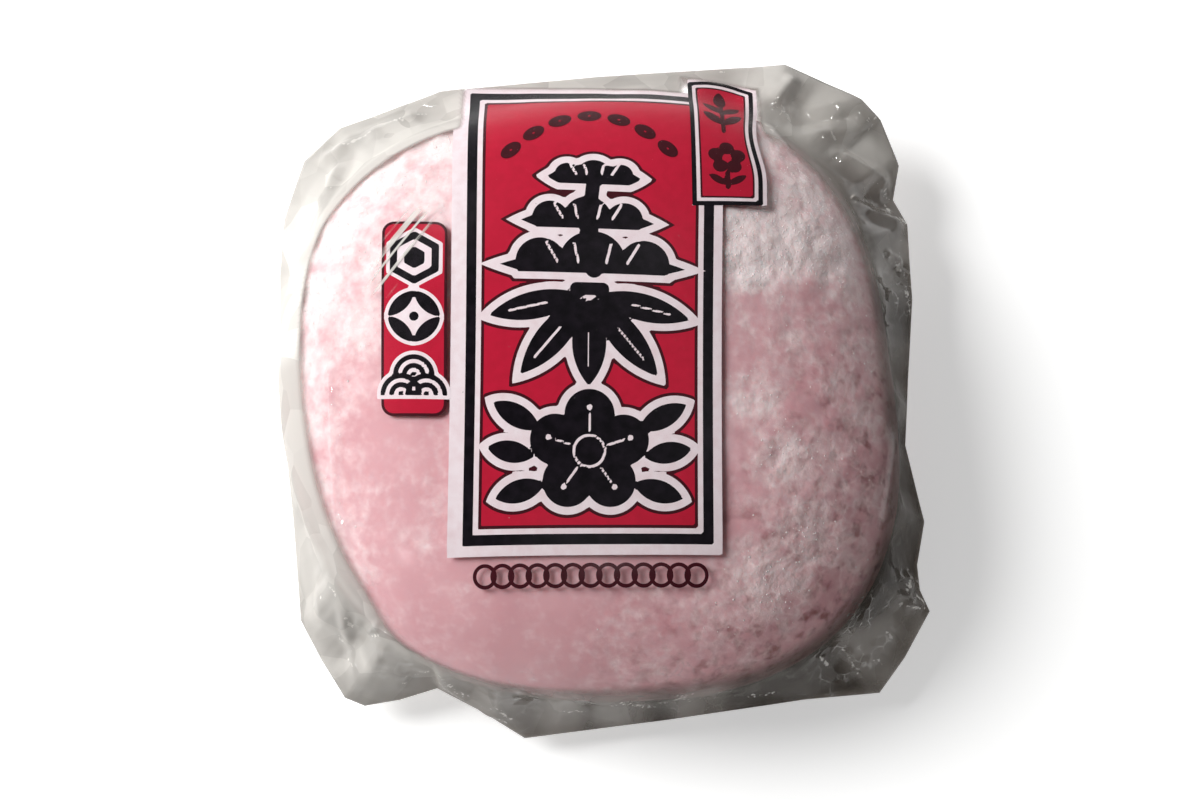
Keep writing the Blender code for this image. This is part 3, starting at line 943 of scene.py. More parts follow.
def cut(triangles, field):
    """Cuts triangles where a field is zero: those below zero, and the rest."""
    value = field(triangles[..., 0], triangles[..., 1])
    below = value < 0
    count = below.sum(axis=1)
    inside = [triangles[count == 3]]
    outside = [triangles[count == 0]]
    for lone_count, lone_side, rest_side in ((1, inside, outside), (2, outside, inside)):
        chosen = count == lone_count
        if not chosen.any():
            continue
        corners, values = triangles[chosen], value[chosen]
        lone_is = below[chosen] if lone_count == 1 else ~below[chosen]
        first = lone_is.argmax(axis=1)
        order = (first[:, None] + np.arange(3)) % 3
        corners = np.take_along_axis(corners, order[..., None], axis=1)
        values = np.take_along_axis(values, order, axis=1)
        lone, a, b = corners[:, 0], corners[:, 1], corners[:, 2]
        ta = (values[:, 0] / (values[:, 0] - values[:, 1]))[:, None]
        tb = (values[:, 0] / (values[:, 0] - values[:, 2]))[:, None]
        pa, pb = lone + (a - lone) * ta, lone + (b - lone) * tb
        lone_side.append(np.stack([lone, pa, pb], axis=1))
        rest_side.append(np.stack([pa, a, b], axis=1))
        rest_side.append(np.stack([pa, b, pb], axis=1))
    return np.concatenate(inside), np.concatenate(outside)


def lay_inks(half_width, half_height, layers):
    """Shares a sheet out between inks. A layer is an ink and a field, and an earlier one lies on top."""
    left = cell_triangles(half_width, half_height)
    laid = {}
    for ink, field in layers:
        taken, left = cut(left, field)
        laid.setdefault(ink, []).append(taken)
    return {ink: np.concatenate(parts) for ink, parts in laid.items()}


def panel_inks():
    """The tall label: a black frame, a red field and three outlined plants."""
    half_width, half_height = PANEL_SIZE[0] / 2, PANEL_SIZE[1] / 2
    frame_bar, white_line, dark_line = 1.15, 0.6, 0.35

    def plants(x, y):
        return union(pine(x - 0.1, y - 9.4), bamboo(x, y + 4.4), plum(x - 0.1, y + 17.9))

    def inset(amount, radius=0.0):
        return lambda x, y: box(x, y, half_width - amount, half_height - amount, radius)

    def margin(x, y):
        """White round the frame, which is wider at the left."""
        across = np.maximum(-1.75 - half_width - x, x - half_width - 1.0)
        return np.maximum(across, np.maximum(-1.15 - half_height - y, y - half_height - 0.9))

    in_red = inset(frame_bar + white_line + dark_line)
    layers = (
        (BLACK, plants),
        (WHITE, lambda x, y: plants(x, y) - 0.85),
        (MAROON, lambda x, y: np.maximum(plants(x, y) - 1.2, in_red(x, y))),
        (RED, in_red),
        (MAROON, inset(frame_bar + white_line)),
        (WHITE, inset(frame_bar)),
        (BLACK, inset(0.0)),
        (WHITE, margin),
    )
    return lay_inks(half_width + 2.2, half_height + 1.3, layers)  # a little more than the margin


def cartouche_inks():
    """The small tall label at the left, with three crests."""
    half_width, half_height = CARTOUCHE_SIZE[0] / 2, CARTOUCHE_SIZE[1] / 2

    def crests(x, y):
        return union(shell_crest(x, y, 7.0), linked_crest(x, y, 0.0), wave_crest(x, y, -6.6))

    layers = (
        (BLACK, crests),
        (WHITE, lambda x, y: union(crests(x, y) - 0.42, circle(x, y, 0, 0, 2.3))),
        (RED, lambda x, y: box(x, y, half_width - 0.32, half_height - 0.32, 1.1)),
        (MAROON, lambda x, y: box(x, y, half_width, half_height, 1.4)),
    )
    return lay_inks(half_width + 0.6, half_height + 0.6, layers)


def flag_inks():
    """The small banner over the label's corner: a wavy frame, a sprig and a blossom."""
    half_width, half_height = FLAG_SIZE[0] / 2, FLAG_SIZE[1] / 2

    def wavy(inset):
        def field(x, y):
            bend = 0.18 * np.exp(-(((y + 5.0) / 2.5) ** 2)) - 0.68 * np.exp(-(((y - 0.9) / 4.0) ** 2))
            bend = bend * smooth(-half_width, half_width, x)
            across = np.clip(0.5 + x / (2 * half_width), 0, 1)
            lift = 0.75 * np.sin(math.pi * across) * smooth(-2.0, half_height, y)
            return box(x - bend, y - lift, half_width - inset, half_height - inset)

        return field

    def ornaments(x, y):
        petals = []
        for i in range(5):
            turn = math.radians(90 + 72 * i)
            petals.append(circle(x, y, 0.1 + 1.35 * math.cos(turn), -3.0 + 1.35 * math.sin(turn), 0.85))
        blossom = np.maximum(union(*petals), 0.45 - np.hypot(x - 0.1, y + 3.0))
        stem = union(stroke(x, y, 0.1, -5.0, 0.1, -6.9, 0.28), leaf(x, y, 0.1, -6.6, -2.1, -5.2, 0.9),
                     leaf(x, y, 0.1, -6.6, 2.3, -5.2, 0.9))
        sprig = [stroke(x, y, -0.1, 0.8, -0.2, 6.4, 0.26), leaf(x, y, -0.2, 5.2, -0.2, 8.4, 1.5)]
        for base, reach in ((1.9, 2.3), (3.8, 2.2)):
            for side in (-1, 1):
                sprig.append(leaf(x, y, -0.1, base, -0.1 + side * reach, base + 2.0, 1.15))
        return union(blossom, stem, *sprig)

    layers = (
        (MAROON, ornaments),
        (RED, wavy(1.15)),
        (MAROON, wavy(0.93)),
        (WHITE, wavy(0.52)),
        (BLACK, wavy(0.0)),
        (WHITE, lambda x, y: np.maximum(wavy(-0.45)(x, y), -union(x + half_width, y + half_height))),
    )
    return lay_inks(half_width + 1.3, half_height + 1.6, layers)


def film_surface():
    """A function that gives the film's height above a place, in millimetres."""
    film = bpy.data.objects["clear_film"].data
    tree = BVHTree.FromPolygons([v.co for v in film.vertices], [p.vertices for p in film.polygons])

    def height(x, y):
        hit = tree.ray_cast(Vector((x * MM, y * MM, DROP_HEIGHT * MM)), Vector((0, 0, -1)))[0]
        return None if hit is None else hit.z / MM

    return height


def drape(parts, surface):
    """Lays flat triangles, as (triangles in plan, depth), under the film. Returns vertices and faces."""
    vertices = []
    faces = []
    for triangles, depth in parts:
        corners = np.round(triangles.reshape(-1, 2), 4)
        unique, index = np.unique(corners, axis=0, return_inverse=True)
        heights = [surface(x, y) for x, y in unique.tolist()]
        on_film = np.array([h is not None for h in heights])
        index = index.reshape(-1, 3)
        apart = (index[:, 0] != index[:, 1]) & (index[:, 1] != index[:, 2]) & (index[:, 0] != index[:, 2])
        index = index[apart & on_film[index].all(axis=1)]
        start = len(vertices)
        for (x, y), height in zip(unique.tolist(), heights):
            vertices.append((x * MM, y * MM, ((height or 0.0) - depth) * MM))
        faces += (index + start).tolist()
    return vertices, faces


def make_flat_mesh(name, vertices, faces):
    """A mesh of only the vertices that its faces use, shaded smooth."""
    used = sorted({i for face in faces for i in face})
    place = {old: new for new, old in enumerate(used)}
    mesh = bpy.data.meshes.new(name)
    mesh.from_pydata([vertices[i] for i in used], [], [[place[i] for i in face] for face in faces])
    mesh.shade_smooth()
    return mesh


# Materials


def dough_material(settings):
    """Steamed rice dough, tinted pink and dusted with starch.

    It gives a soft, slightly see-through pink that goes matt and white where the starch lies.
    """
    material, node, coords = new_material("steamed rice dough, dusted")
    dust = node("Attribute", attribute_name="dusting").outputs["Fac"]
    blotch = node("TexNoise", coords, 1 / (9 * MM), 3.0)
    patches = node("TexNoise", coords, 1 / (3.6 * MM), 2.0, inputs={"Distortion": 0.4})
    web = node("TexNoise", coords, 1 / (1.3 * MM), 3.0, 0.5, inputs={"Distortion": 0.15})
    fine = node("TexNoise", coords, 1 / (0.5 * MM), 3.0)
    level = dust
    for pattern, share in ((patches, 0.9), (web, 1.15), (fine, 0.3)):
        scaled = node("Math", pattern, share, -0.5 * share, operation="MULTIPLY_ADD")
        level = node("Math", level, scaled, operation="ADD")
    # Towards the lower right, away from the light, its starch is thinner and broken by fine veins, and both
    # the starch and the bare hollows are pinker and darker as painted shade
    lower_right = node("VectorMath", coords, (0.85, -0.5, 0.0), operation="DOT_PRODUCT")
    damp_and_shaded = node("MapRange", lower_right, 10 * MM, 34 * MM, interpolation_type="SMOOTHSTEP")
    least = node("MapRange", damp_and_shaded, 0, 1, -0.1, 0.06)
    warp = node("TexNoise", coords, 1 / (2.5 * MM), 2.0)
    warped = node("VectorMath", warp.outputs["Color"], [2.5 * MM] * 3, coords, operation="MULTIPLY_ADD")
    cracks = node("TexVoronoi", warped, 1 / (2.4 * MM), feature="DISTANCE_TO_EDGE")
    vein = node("MapRange", cracks, 0, 0.16, 0.5, 0, interpolation_type="SMOOTHSTEP")
    thinly = node("Math", damp_and_shaded, dust, operation="MULTIPLY")
    veined = node("Math", vein, thinly, level, operation="MULTIPLY_ADD")
    cover = node("MapRange", veined, least, 1.1, 0, 0.95, interpolation_type="SMOOTHSTEP")
    pits = node("TexNoise", coords, 1 / (1.9 * MM), 3.0, inputs={"Distortion": 0.15})
    hollow = node("MapRange", pits, 0.45, 0.72, interpolation_type="SMOOTHSTEP")
    # Darker bare hollows towards the lower right: partly wet dough, partly painted shade
    moist_and_shaded = node("Math", damp_and_shaded, hollow, operation="MULTIPLY")
    dry_pink = node("Mix", blotch, settings.dough_colour, settings.deep_colour, data_type="RGBA")
    pink = node("Mix", moist_and_shaded, dry_pink, settings.moist_and_shaded_colour, data_type="RGBA")
    # Warmer, darker starch towards the lower right: painted shade
    starch = node("Mix", damp_and_shaded, settings.starch_colour, settings.painted_shade_starch_colour, data_type="RGBA")
    colour = node("Mix", cover, pink, starch, data_type="RGBA")
    rough = node("MapRange", cover, 0, 1, 0.5, 0.95)
    lumps = node("TexVoronoi", coords, 1 / (1.3 * MM), inputs={"Smoothness": 0.7}, feature="SMOOTH_F1")
    grains = node("Math", lumps, -1.1, fine, operation="MULTIPLY_ADD")
    coat = node("Math", cover, grains, operation="MULTIPLY")
    relief = node("Math", moist_and_shaded, -0.4, coat, operation="MULTIPLY_ADD")
    bump = node("Bump", inputs={"Height": relief, "Strength": 0.4, "Distance": 0.3 * MM})
    surface = node("BsdfPrincipled", inputs={
        "Base Color": colour,
        "Roughness": rough,
        "IOR": 1.4,
        "Specular IOR Level": 0.25,
        "Subsurface Weight": 0.35,
        "Subsurface Radius": (1.0, 0.45, 0.4),
        "Subsurface Scale": 2.5 * MM,
        "Normal": bump,
    })
    node("OutputMaterial", surface)
    return material


def starch_material(settings):
    """Sifted potato starch in soft clumps: dead matt white with a faint warm shade in its hollows.

    Its real grains are far too fine to show, so they are drawn 0.4 mm wide.
    """
    material, node, coords = new_material("sifted potato starch")
    grain = node("TexNoise", coords, 1 / (0.4 * MM), 3.0)
    colour = node("Mix", grain, settings.shade_colour, settings.clump_colour, data_type="RGBA")
    bump = node("Bump", inputs={"Height": grain, "Strength": 0.5, "Distance": 0.08 * MM})
    surface = node("BsdfPrincipled", inputs={
        "Base Color": colour, "Roughness": 0.95, "Specular IOR Level": 0.2, "Normal": bump,
    })
    node("OutputMaterial", surface)
    return material


def film_material(settings):
    """Cast polypropylene film, sealed and crumpled, with starch on its inner side.

    It is clear and glossy on the sweet, smoky where it lies in folds and, as painted shade, away from the
    window, and white where starch clings to it. Towards the window, at creases and in streaks on the sweet,
    its white is partly painted light, glints and highlights.
    """
    material, node, coords = new_material("cast polypropylene film")
    names = ("free", "layer", "tone", "haze", "glare", "crease", "crumple", "shine")
    free, layer, tone, haze, glare, crease, crumple, shine = (
        node("Attribute", attribute_name=name).outputs["Fac"] for name in names
    )
    # Small facets where it is crumpled, and wide flat panes in all the free film
    warp = node("TexNoise", coords, 1 / (1.6 * MM), 2.0)
    warped = node("VectorMath", warp.outputs["Color"], [0.5 * MM] * 3, coords, operation="MULTIPLY_ADD")
    facets = node("TexVoronoi", warped, 1 / (1.5 * MM), feature="F1")
    edges = node("TexVoronoi", warped, 1 / (1.5 * MM), feature="DISTANCE_TO_EDGE")
    panes = node("TexVoronoi", coords, 1 / (4.5 * MM), feature="F1")
    pane = node("SeparateXYZ", panes.outputs["Color"])
    # What is white: starch on its inner side, whiter towards the window as painted light; creases, partly
    # stress-whitened and partly painted glints; and painted highlights in streaks where it would mirror the
    # window
    thicker = node("MapRange", pane.outputs["Y"], 0, 1, 0.82, 1.12)
    hazed = node("Math", haze, thicker, operation="MULTIPLY", use_clamp=True)
    line = node("MapRange", edges, 0.01, 0.08, 1, 0, interpolation_type="SMOOTHSTEP")
    patch = node("TexNoise", coords, 1 / (1.8 * MM), 2.0)
    shown = node("MapRange", patch, 0.42, 0.62, interpolation_type="SMOOTHSTEP")
    lined = node("Math", line, shown, operation="MULTIPLY")
    fine = node("Math", lined, crumple, operation="MULTIPLY")
    frayed = node("TexNoise", coords, 1 / (0.45 * MM), 2.0)
    torn = node("Math", frayed, 1.6, -0.8, operation="MULTIPLY_ADD")
    broken = node("Math", crease, torn, operation="ADD")
    sharp = node("MapRange", broken, 0.38, 0.8, 0, 0.85, interpolation_type="SMOOTHSTEP")
    creases_and_painted_glints = node("Math", fine, 0.35, sharp, operation="MULTIPLY_ADD", use_clamp=True)
    beside = node("VectorMath", coords, GLARE_ACROSS, operation="DOT_PRODUCT")
    bands = node("TexNoise", beside, 1 / (0.8 * MM), 1.0, noise_dimensions="1D")
    band = node("MapRange", bands, 0.5, 0.62, 0, 0.8, interpolation_type="SMOOTHSTEP")
    painted_glare_streak = node("Math", band, glare, operation="MULTIPLY")
    lit = node("Math", painted_glare_streak, creases_and_painted_glints, operation="MAXIMUM")
    white_with_painted_light = node("Math", hazed, lit, operation="MAXIMUM")
    # What it lets through, which is darker in folds and where a layer lies behind another, and smoky where it
    # is little hazed, away from the window, as painted shade
    single = node("Mix", haze, settings.smoky_and_shaded_tint, settings.thin_tint, data_type="RGBA")
    patchy = node("SeparateXYZ", facets.outputs["Color"])
    uneven = node("Math", patchy.outputs["X"], crumple, operation="MULTIPLY")
    faceted = node("Math", pane.outputs["X"], 0.35, tone, operation="MULTIPLY_ADD")
    level = node("Math", faceted, 0.17, operation="SUBTRACT")
    toned = node("Math", uneven, 0.25, level, operation="MULTIPLY_ADD", use_clamp=True)
    folded = node("Mix", toned, single, settings.fold_tint, data_type="RGBA")
    shared = node("Gamma", folded, layer)
    tint = node("Mix", free, CLEAR_TINT, shared, data_type="RGBA")
    see_through = node("BsdfTransparent", tint)
    # Its gloss, with each facet and pane tipped its own way
    smear = node("MapRange", shine, 0, 0.6, 0.32, 0.07)
    rough = node("Math", creases_and_painted_glints, 0.06, smear, operation="MULTIPLY_ADD")
    tips = []
    for cells, amount, most in ((facets, crumple, 0.4), (panes, free, 0.1)):
        spread = node("VectorMath", cells.outputs["Color"], [0.5] * 3, operation="SUBTRACT")
        tilt = node("Math", amount, most, operation="MULTIPLY")
        tips.append(node("VectorMath", spread, tilt, operation="SCALE"))
    both_tips = node("VectorMath", *tips, operation="ADD")
    plain_normal = node("NewGeometry").outputs["Normal"]
    leaning = node("VectorMath", plain_normal, both_tips, operation="ADD")
    normal = node("VectorMath", leaning, operation="NORMALIZE")
    gloss = node("BsdfGlossy", linear("#ffffff"), rough, inputs={"Normal": normal})
    facing = node("LayerWeight", 0.5).outputs["Facing"]
    grazing = node("Math", facing, 5.0, operation="POWER")
    steepest = node("MapRange", shine, 0, 1, 0.02, 0.8)
    slant = node("Math", grazing, steepest, operation="MULTIPLY")
    least = node("MapRange", shine, 0.1, 1, 0.002, 0.07)
    sides = node("Math", slant, least, operation="ADD")
    mirrored = node("Math", creases_and_painted_glints, 0.3, sides, operation="MULTIPLY_ADD", use_clamp=True)
    film = node("MixShader", mirrored, see_through, gloss)
    # The starch's white, which also gives the painted light, glints and highlights
    powder = node("BsdfDiffuse", settings.haze_colour)
    whole = node("MixShader", white_with_painted_light, film, powder)
    node("OutputMaterial", whole)
    return material


def window_world(settings):
    """An even pale room that is brighter on the window's side and darker overhead."""
    world = bpy.data.worlds.new("room with a window")
    node = start_nodes(world)
    way = node("TexCoord").outputs["Generated"]
    toward = node("VectorMath", way, (-0.9, 0.44, 0.0), operation="DOT_PRODUCT")
    side = node("MapRange", toward, -0.8, 0.9, 0.31, 1.58, interpolation_type="SMOOTHSTEP")
    up = node("SeparateXYZ", way).outputs["Z"]
    low = node("MapRange", up, 0.35, 0.85, 1, 0.2, interpolation_type="SMOOTHSTEP")
    both = node("Math", side, low, operation="MULTIPLY")
    strength = node("Math", both, settings.fill, operation="MULTIPLY")
    light = node("Background", linear("#ffffff"), strength)
    node("OutputWorld", light)
    return world


def ink_material(name, colour, worn, roughness):
    """Flexographic ink on film: a flat, even colour with faint mottling where it went on thin."""
    material, node, coords = new_material(name)
    mottle = node("TexNoise", coords, 1 / (1.2 * MM), 4.0)
    thin = node("MapRange", mottle, 0.35, 0.75, 0, 0.5)
    shade = node("Mix", thin, colour, worn, data_type="RGBA")
    surface = node("BsdfPrincipled", inputs={
        "Base Color": shade, "Roughness": roughness, "Specular IOR Level": 0.1,
    })
    node("OutputMaterial", surface)
    return material


def floor_material(settings):
    """Matt white acrylic over a faint light: even and pale, with weak shadows."""
    material, node, coords = new_material("matt white acrylic, lit from below")
    cloud = node("TexNoise", coords, 1 / (30 * MM), 2.0)
    pale = tuple(settings.floor_colour)
    cloudy = tuple(FLOOR_CLOUD * c for c in pale[:3]) + (1.0,)
    colour = node("Mix", cloud, pale, cloudy, data_type="RGBA")
    surface = node("BsdfPrincipled", inputs={
        "Base Color": colour,
        "Roughness": 0.9,
        "Specular IOR Level": 0.1,
        "Emission Color": linear("#ffffff"),
        "Emission Strength": settings.glow,
    })
    node("OutputMaterial", surface)
    return material


# Geometry node trees


def run_tree(tree, base, inputs, name):
    """Puts a tree on a base mesh with its inputs set, and returns the plain mesh that it makes."""
    carrier = bpy.data.objects.new(name + " carrier", base)
    bpy.context.scene.collection.objects.link(carrier)
    modifier = carrier.modifiers.new("nodes", "NODES")
    modifier.node_group = tree
    sockets = {item.name: item.identifier for item in tree.interface.items_tree if item.in_out == "INPUT"}
    for key, value in inputs.items():
        modifier[sockets[key]] = value
    graph = bpy.context.evaluated_depsgraph_get()
    graph.update()
    mesh = bpy.data.meshes.new_from_object(carrier.evaluated_get(graph))
    carrier.modifiers.remove(modifier)
    bpy.data.objects.remove(carrier, do_unlink=True)
    return mesh


def new_tree(name, sockets):
    """A geometry node tree that takes a mesh and named inputs, each with its type.

    Returns the tree, the function that adds a node to it, and the inputs' sockets.
    """
    tree = bpy.data.node_groups.new(name, "GeometryNodeTree")
    for label, kind in {"Geometry": "Geometry", **sockets}.items():
        tree.interface.new_socket(label, in_out="INPUT", socket_type="NodeSocket" + kind)
    tree.interface.new_socket("Geometry", in_out="OUTPUT", socket_type="NodeSocketGeometry")
    return tree, partial(add_node, tree), add_node(tree, "NodeGroupInput").outputs


def clump_tree():
    """Scatters flattened clumps on a dusted surface, more of them where it is dusted more."""
    tree, node, given = new_tree("starch clumps", {
        "Density": "Float", "Smallest": "Float", "Largest": "Float", "Flatness": "Float",
        "Material": "Material",
    })
    dust = node("GeometryNodeInputNamedAttribute", "dusting", data_type="FLOAT")
    whole = node("Math", dust, 1.0, operation="MINIMUM")
    heaped = node("Math", whole, 4.0, operation="POWER")
    density = node("Math", heaped, given["Density"], operation="MULTIPLY")
    points = node("GeometryNodeDistributePointsOnFaces", inputs={
        "Mesh": given["Geometry"], "Density": density, "Seed": 7,
    }, distribute_method="RANDOM")
    ball = node("GeometryNodeMeshIcoSphere", inputs={"Radius": 1.0, "Subdivisions": 1})
    wobble = node("TexNoise", inputs={"Scale": 1.3, "Detail": 2.0})
    dent = node("VectorMath", wobble.outputs["Color"], [0.5] * 3, operation="SUBTRACT")
    dented = node("VectorMath", dent, 1.8, operation="SCALE")
    crumb = node("GeometryNodeSetPosition", ball, inputs={"Offset": dented})
    size = node("FunctionNodeRandomValue", given["Smallest"], given["Largest"], inputs={"Seed": 3},
                data_type="FLOAT")
    stretch = node("FunctionNodeRandomValue", (0.6, 0.6, 0.0), (1.3, 1.3, 0.0), inputs={"Seed": 4},
                   data_type="FLOAT_VECTOR")
    flat = node("CombineXYZ", 0.0, 0.0, given["Flatness"])
    shape = node("VectorMath", stretch, flat, operation="ADD")
    scale = node("VectorMath", shape, size, operation="SCALE")
    copies = node("GeometryNodeInstanceOnPoints", inputs={
        "Points": points, "Instance": crumb, "Rotation": points.outputs["Rotation"], "Scale": scale,
    })
    real = node("GeometryNodeRealizeInstances", copies)
    painted = node("GeometryNodeSetMaterial", real, inputs={"Material": given["Material"]})
    node("NodeGroupOutput", painted)
    return tree


def row_tree():
    """Sets a flat shape along the base mesh's edges and lays it on the film."""
    tree, node, given = new_tree("row on film", {
        "Count": "Int", "Size": "Vector", "Hole": "Float", "Depth": "Float", "Film": "Object",
        "Material": "Material",
    })
    path = node("GeometryNodeMeshToCurve", given["Geometry"])
    spots = node("GeometryNodeCurveToPoints", inputs={"Curve": path, "Count": given["Count"]})
    both = node("GeometryNodeJoinGeometry")
    for radius in (1.0, given["Hole"]):
        edge = node("GeometryNodeCurvePrimitiveCircle", inputs={
            "Resolution": 28, "Radius": radius,
        }, mode="RADIUS")
        tree.links.new(edge.outputs[0], both.inputs[0])
    disc = node("GeometryNodeFillCurve", both, mode="TRIANGLES")
    turned = node("FunctionNodeAlignEulerToVector", inputs={"Vector": spots.outputs["Tangent"]}, axis="X")
    copies = node("GeometryNodeInstanceOnPoints", inputs={
        "Points": spots, "Instance": disc, "Rotation": turned, "Scale": given["Size"],
    })
    real = node("GeometryNodeRealizeInstances", copies)
    film = node("GeometryNodeObjectInfo", given["Film"], transform_space="ORIGINAL")
    ray = node("GeometryNodeRaycast", inputs={
        "Target Geometry": film.outputs["Geometry"],
        "Source Position": node("GeometryNodeInputPosition"),
        "Ray Direction": (0.0, 0.0, -1.0),
        "Ray Length": 0.2,
    }, data_type="FLOAT")
    below = node("CombineXYZ", 0.0, 0.0, given["Depth"])
    laid = node("VectorMath", ray.outputs["Hit Position"], below, operation="SUBTRACT")
    draped = node("GeometryNodeSetPosition", real, inputs={"Position": laid})
    painted = node("GeometryNodeSetMaterial", draped, inputs={"Material": given["Material"]})
    node("NodeGroupOutput", painted)
    return tree


def guide_line(points):
    """A mesh of edges through places in plan, held above the film."""
    mesh = bpy.data.meshes.new("guide")
    edges = [(i, i + 1) for i in range(len(points) - 1)]
    mesh.from_pydata([(x * MM, y * MM, GUIDE_HEIGHT * MM) for x, y in points], edges, [])
    return mesh


# Settings


def length_setting(name, description, millimetres):
    """A setting that is a length."""
    return FloatProperty(name=name, description=description, default=millimetres * MM, unit="LENGTH")


def number_setting(name, description, value):
    """A setting that is a plain number."""
    return FloatProperty(name=name, description=description, default=value)


def count_setting(name, description, value):
    """A setting that is a number of things."""
    return IntProperty(name=name, description=description, default=value, min=1)


def colour_setting(name, description, hex_code):
    """A setting that is a colour."""
    return FloatVectorProperty(
        name=name, description=description, subtype="COLOR", size=4, default=linear(hex_code))


class SweetSettings(bpy.types.PropertyGroup):
    """Sizes and colours of the sweet."""

    lump_depth: length_setting("Lump depth", "Depth of the soft dents", 0.5)
    coat_depth: length_setting("Coat depth", "Relief of the starch coat", 0.3)
    dough_colour: colour_setting("Dough", "Colour of the bare dough", "#ebb9be")
    deep_colour: colour_setting("Deep dough", "Colour of the dough where it is denser", "#cf959c")
    # Partly painted shade: the hollows that darken towards the lower right
    moist_and_shaded_colour: colour_setting(
        "Moist dough", "Colour in the hollows where the dough is bare and moist", "#a06667")
    # Painted shade: the starch towards the lower right, away from the light
    painted_shade_starch_colour: colour_setting(
        "Damp starch", "Colour of the starch that the dough has wetted", "#f6d8d8")
    starch_colour: colour_setting("Starch coat", "Colour of dry starch on the dough", "#fce9e8")


class StarchSettings(bpy.types.PropertyGroup):
    """Sizes and colours of the loose clumps of starch."""

    density: number_setting("Density", "Clumps for each square metre of full dusting", 5.0e6)
    smallest: length_setting("Smallest", "Smallest clump's radius", 0.04)
    largest: length_setting("Largest", "Largest clump's radius", 0.11)
    flatness: number_setting("Flatness", "Height of a clump for its radius", 0.35)
    clump_colour: colour_setting("Clump", "Colour of a clump", "#fdf6f5")
    shade_colour: colour_setting("Clump shade", "Colour in a clump's hollows", "#f0dedd")


class FilmSettings(bpy.types.PropertyGroup):
    """Sizes and colours of the clear film."""

    fold_depth: length_setting("Fold depth", "Height of the large facets", 0.34)
    crinkle_depth: length_setting("Crinkle depth", "Height of the small facets", 0.07)
    # Partly painted shade: it shows where the film is least hazed, away from the window
    smoky_and_shaded_tint: colour_setting("Smoky tint", "What the film lets through where it is bunched up", "#86807a")
    thin_tint: colour_setting("Thin tint", "What one clear layer lets through", "#e8e7e4")
    fold_tint: colour_setting("Fold tint", "What folded film lets through", "#6d6761")
    haze_colour: colour_setting("Haze", "Colour of the starch on the film", "#dedad4")


class PrintSettings(bpy.types.PropertyGroup):
    """Colours of the inks."""

    white: colour_setting("White", "White ink", "#efe1e5")
    black: colour_setting("Black", "Black ink", "#0a070c")
    red: colour_setting("Red", "Red ink", "#bf1c38")
    maroon: colour_setting("Maroon", "Dark red ink of the fine lines", "#3d0f18")


class OrnamentSettings(bpy.types.PropertyGroup):
    """Sizes of the two rows of ornaments."""

    bean_count: count_setting("Beans", "Beans in the arc", 7)
    bean_length: length_setting("Bean length", "Length of a bean", 2.8)
    ring_count: count_setting("Rings", "Linked rings in the line", 13)
    ring_size: length_setting("Ring size", "Outer diameter of a ring", 2.7)


class StageSettings(bpy.types.PropertyGroup):
    """Floor, lights and camera."""

    floor_colour: colour_setting("Floor", "Colour of the floor", "#f8f8f7")
    key_power: number_setting("Key light", "Power of the main light in watts", 7.0)
    glint_power: number_setting("Glint light", "Power of each small light in watts", 0.15)
    glow: number_setting("Floor glow", "Strength of the light under the floor", 0.46)
    fill: number_setting("Fill", "Strength of the even light from all sides", 0.4)


# Operators


class MOCHI_OT_stage(bpy.types.Operator):
    """Adds the floor, the lights and the camera"""

    bl_idname = "mochi.stage"
    bl_label = "Stage"

    def execute(self, context):
        settings = context.scene.mochi_stage
        link = context.scene.collection.objects.link
        mesh = bpy.data.meshes.new("floor")
        signs = ((-1, -1), (1, -1), (1, 1), (-1, 1))
        corners = [(x * FLOOR_HALF, y * FLOOR_HALF, -FLOOR_DROP) for x, y in signs]
        mesh.from_pydata(corners, [], [(0, 1, 2, 3)])
        mesh.materials.append(floor_material(settings))
        floor = bpy.data.objects.new("floor", mesh)
        link(floor)

        context.scene.world = window_world(settings)
        lights = [(KEY_WAY, KEY_DISTANCE, KEY_SIZE, settings.key_power)]
        lights += [(way, GLINT_DISTANCE, GLINT_SIZE, settings.glint_power) for way in GLINT_WAYS]
        for index, (way, distance, size, power) in enumerate(lights):
            lamp = bpy.data.lights.new(f"soft light {index}", "AREA")
            lamp.shape = "DISK"
            lamp.size = size
            lamp.energy = power
            lit = bpy.data.objects.new(lamp.name, lamp)
            direction = Vector(way).normalized()
            lit.location = Vector(LIGHTS_AIM) + direction * distance
            lit.rotation_euler = direction.to_track_quat("Z", "Y").to_euler()
            lit.visible_glossy = index > 0
            lit.visible_diffuse = index == 0
            link(lit)

        lens = bpy.data.cameras.new("camera")
        lens.sensor_width = SENSOR_WIDTH
        lens.lens = SENSOR_WIDTH * CAMERA_DISTANCE / (PHOTO_WIDTH * METRES_A_PIXEL)
        lens.clip_start = 0.01
        back = Vector((0.0, -math.cos(CAMERA_ELEVATION), math.sin(CAMERA_ELEVATION)))
        camera = bpy.data.objects.new("camera", lens)
        camera.location = Vector(CAMERA_AIM) + back * CAMERA_DISTANCE
        camera.rotation_euler = back.to_track_quat("Z", "Y").to_euler()
        link(camera)
        context.scene.camera = camera
        context.scene.view_settings.view_transform = "Standard"
        return {"FINISHED"}


class MOCHI_OT_sweet(bpy.types.Operator):
    """Makes the dusted sweet"""

    bl_idname = "mochi.sweet"
    bl_label = "Sweet"

    def execute(self, context):
        settings = context.scene.mochi_sweet
        add_piece("mochi", make_sweet_mesh(settings), dough_material(settings), "rice_dough")
        return {"FINISHED"}


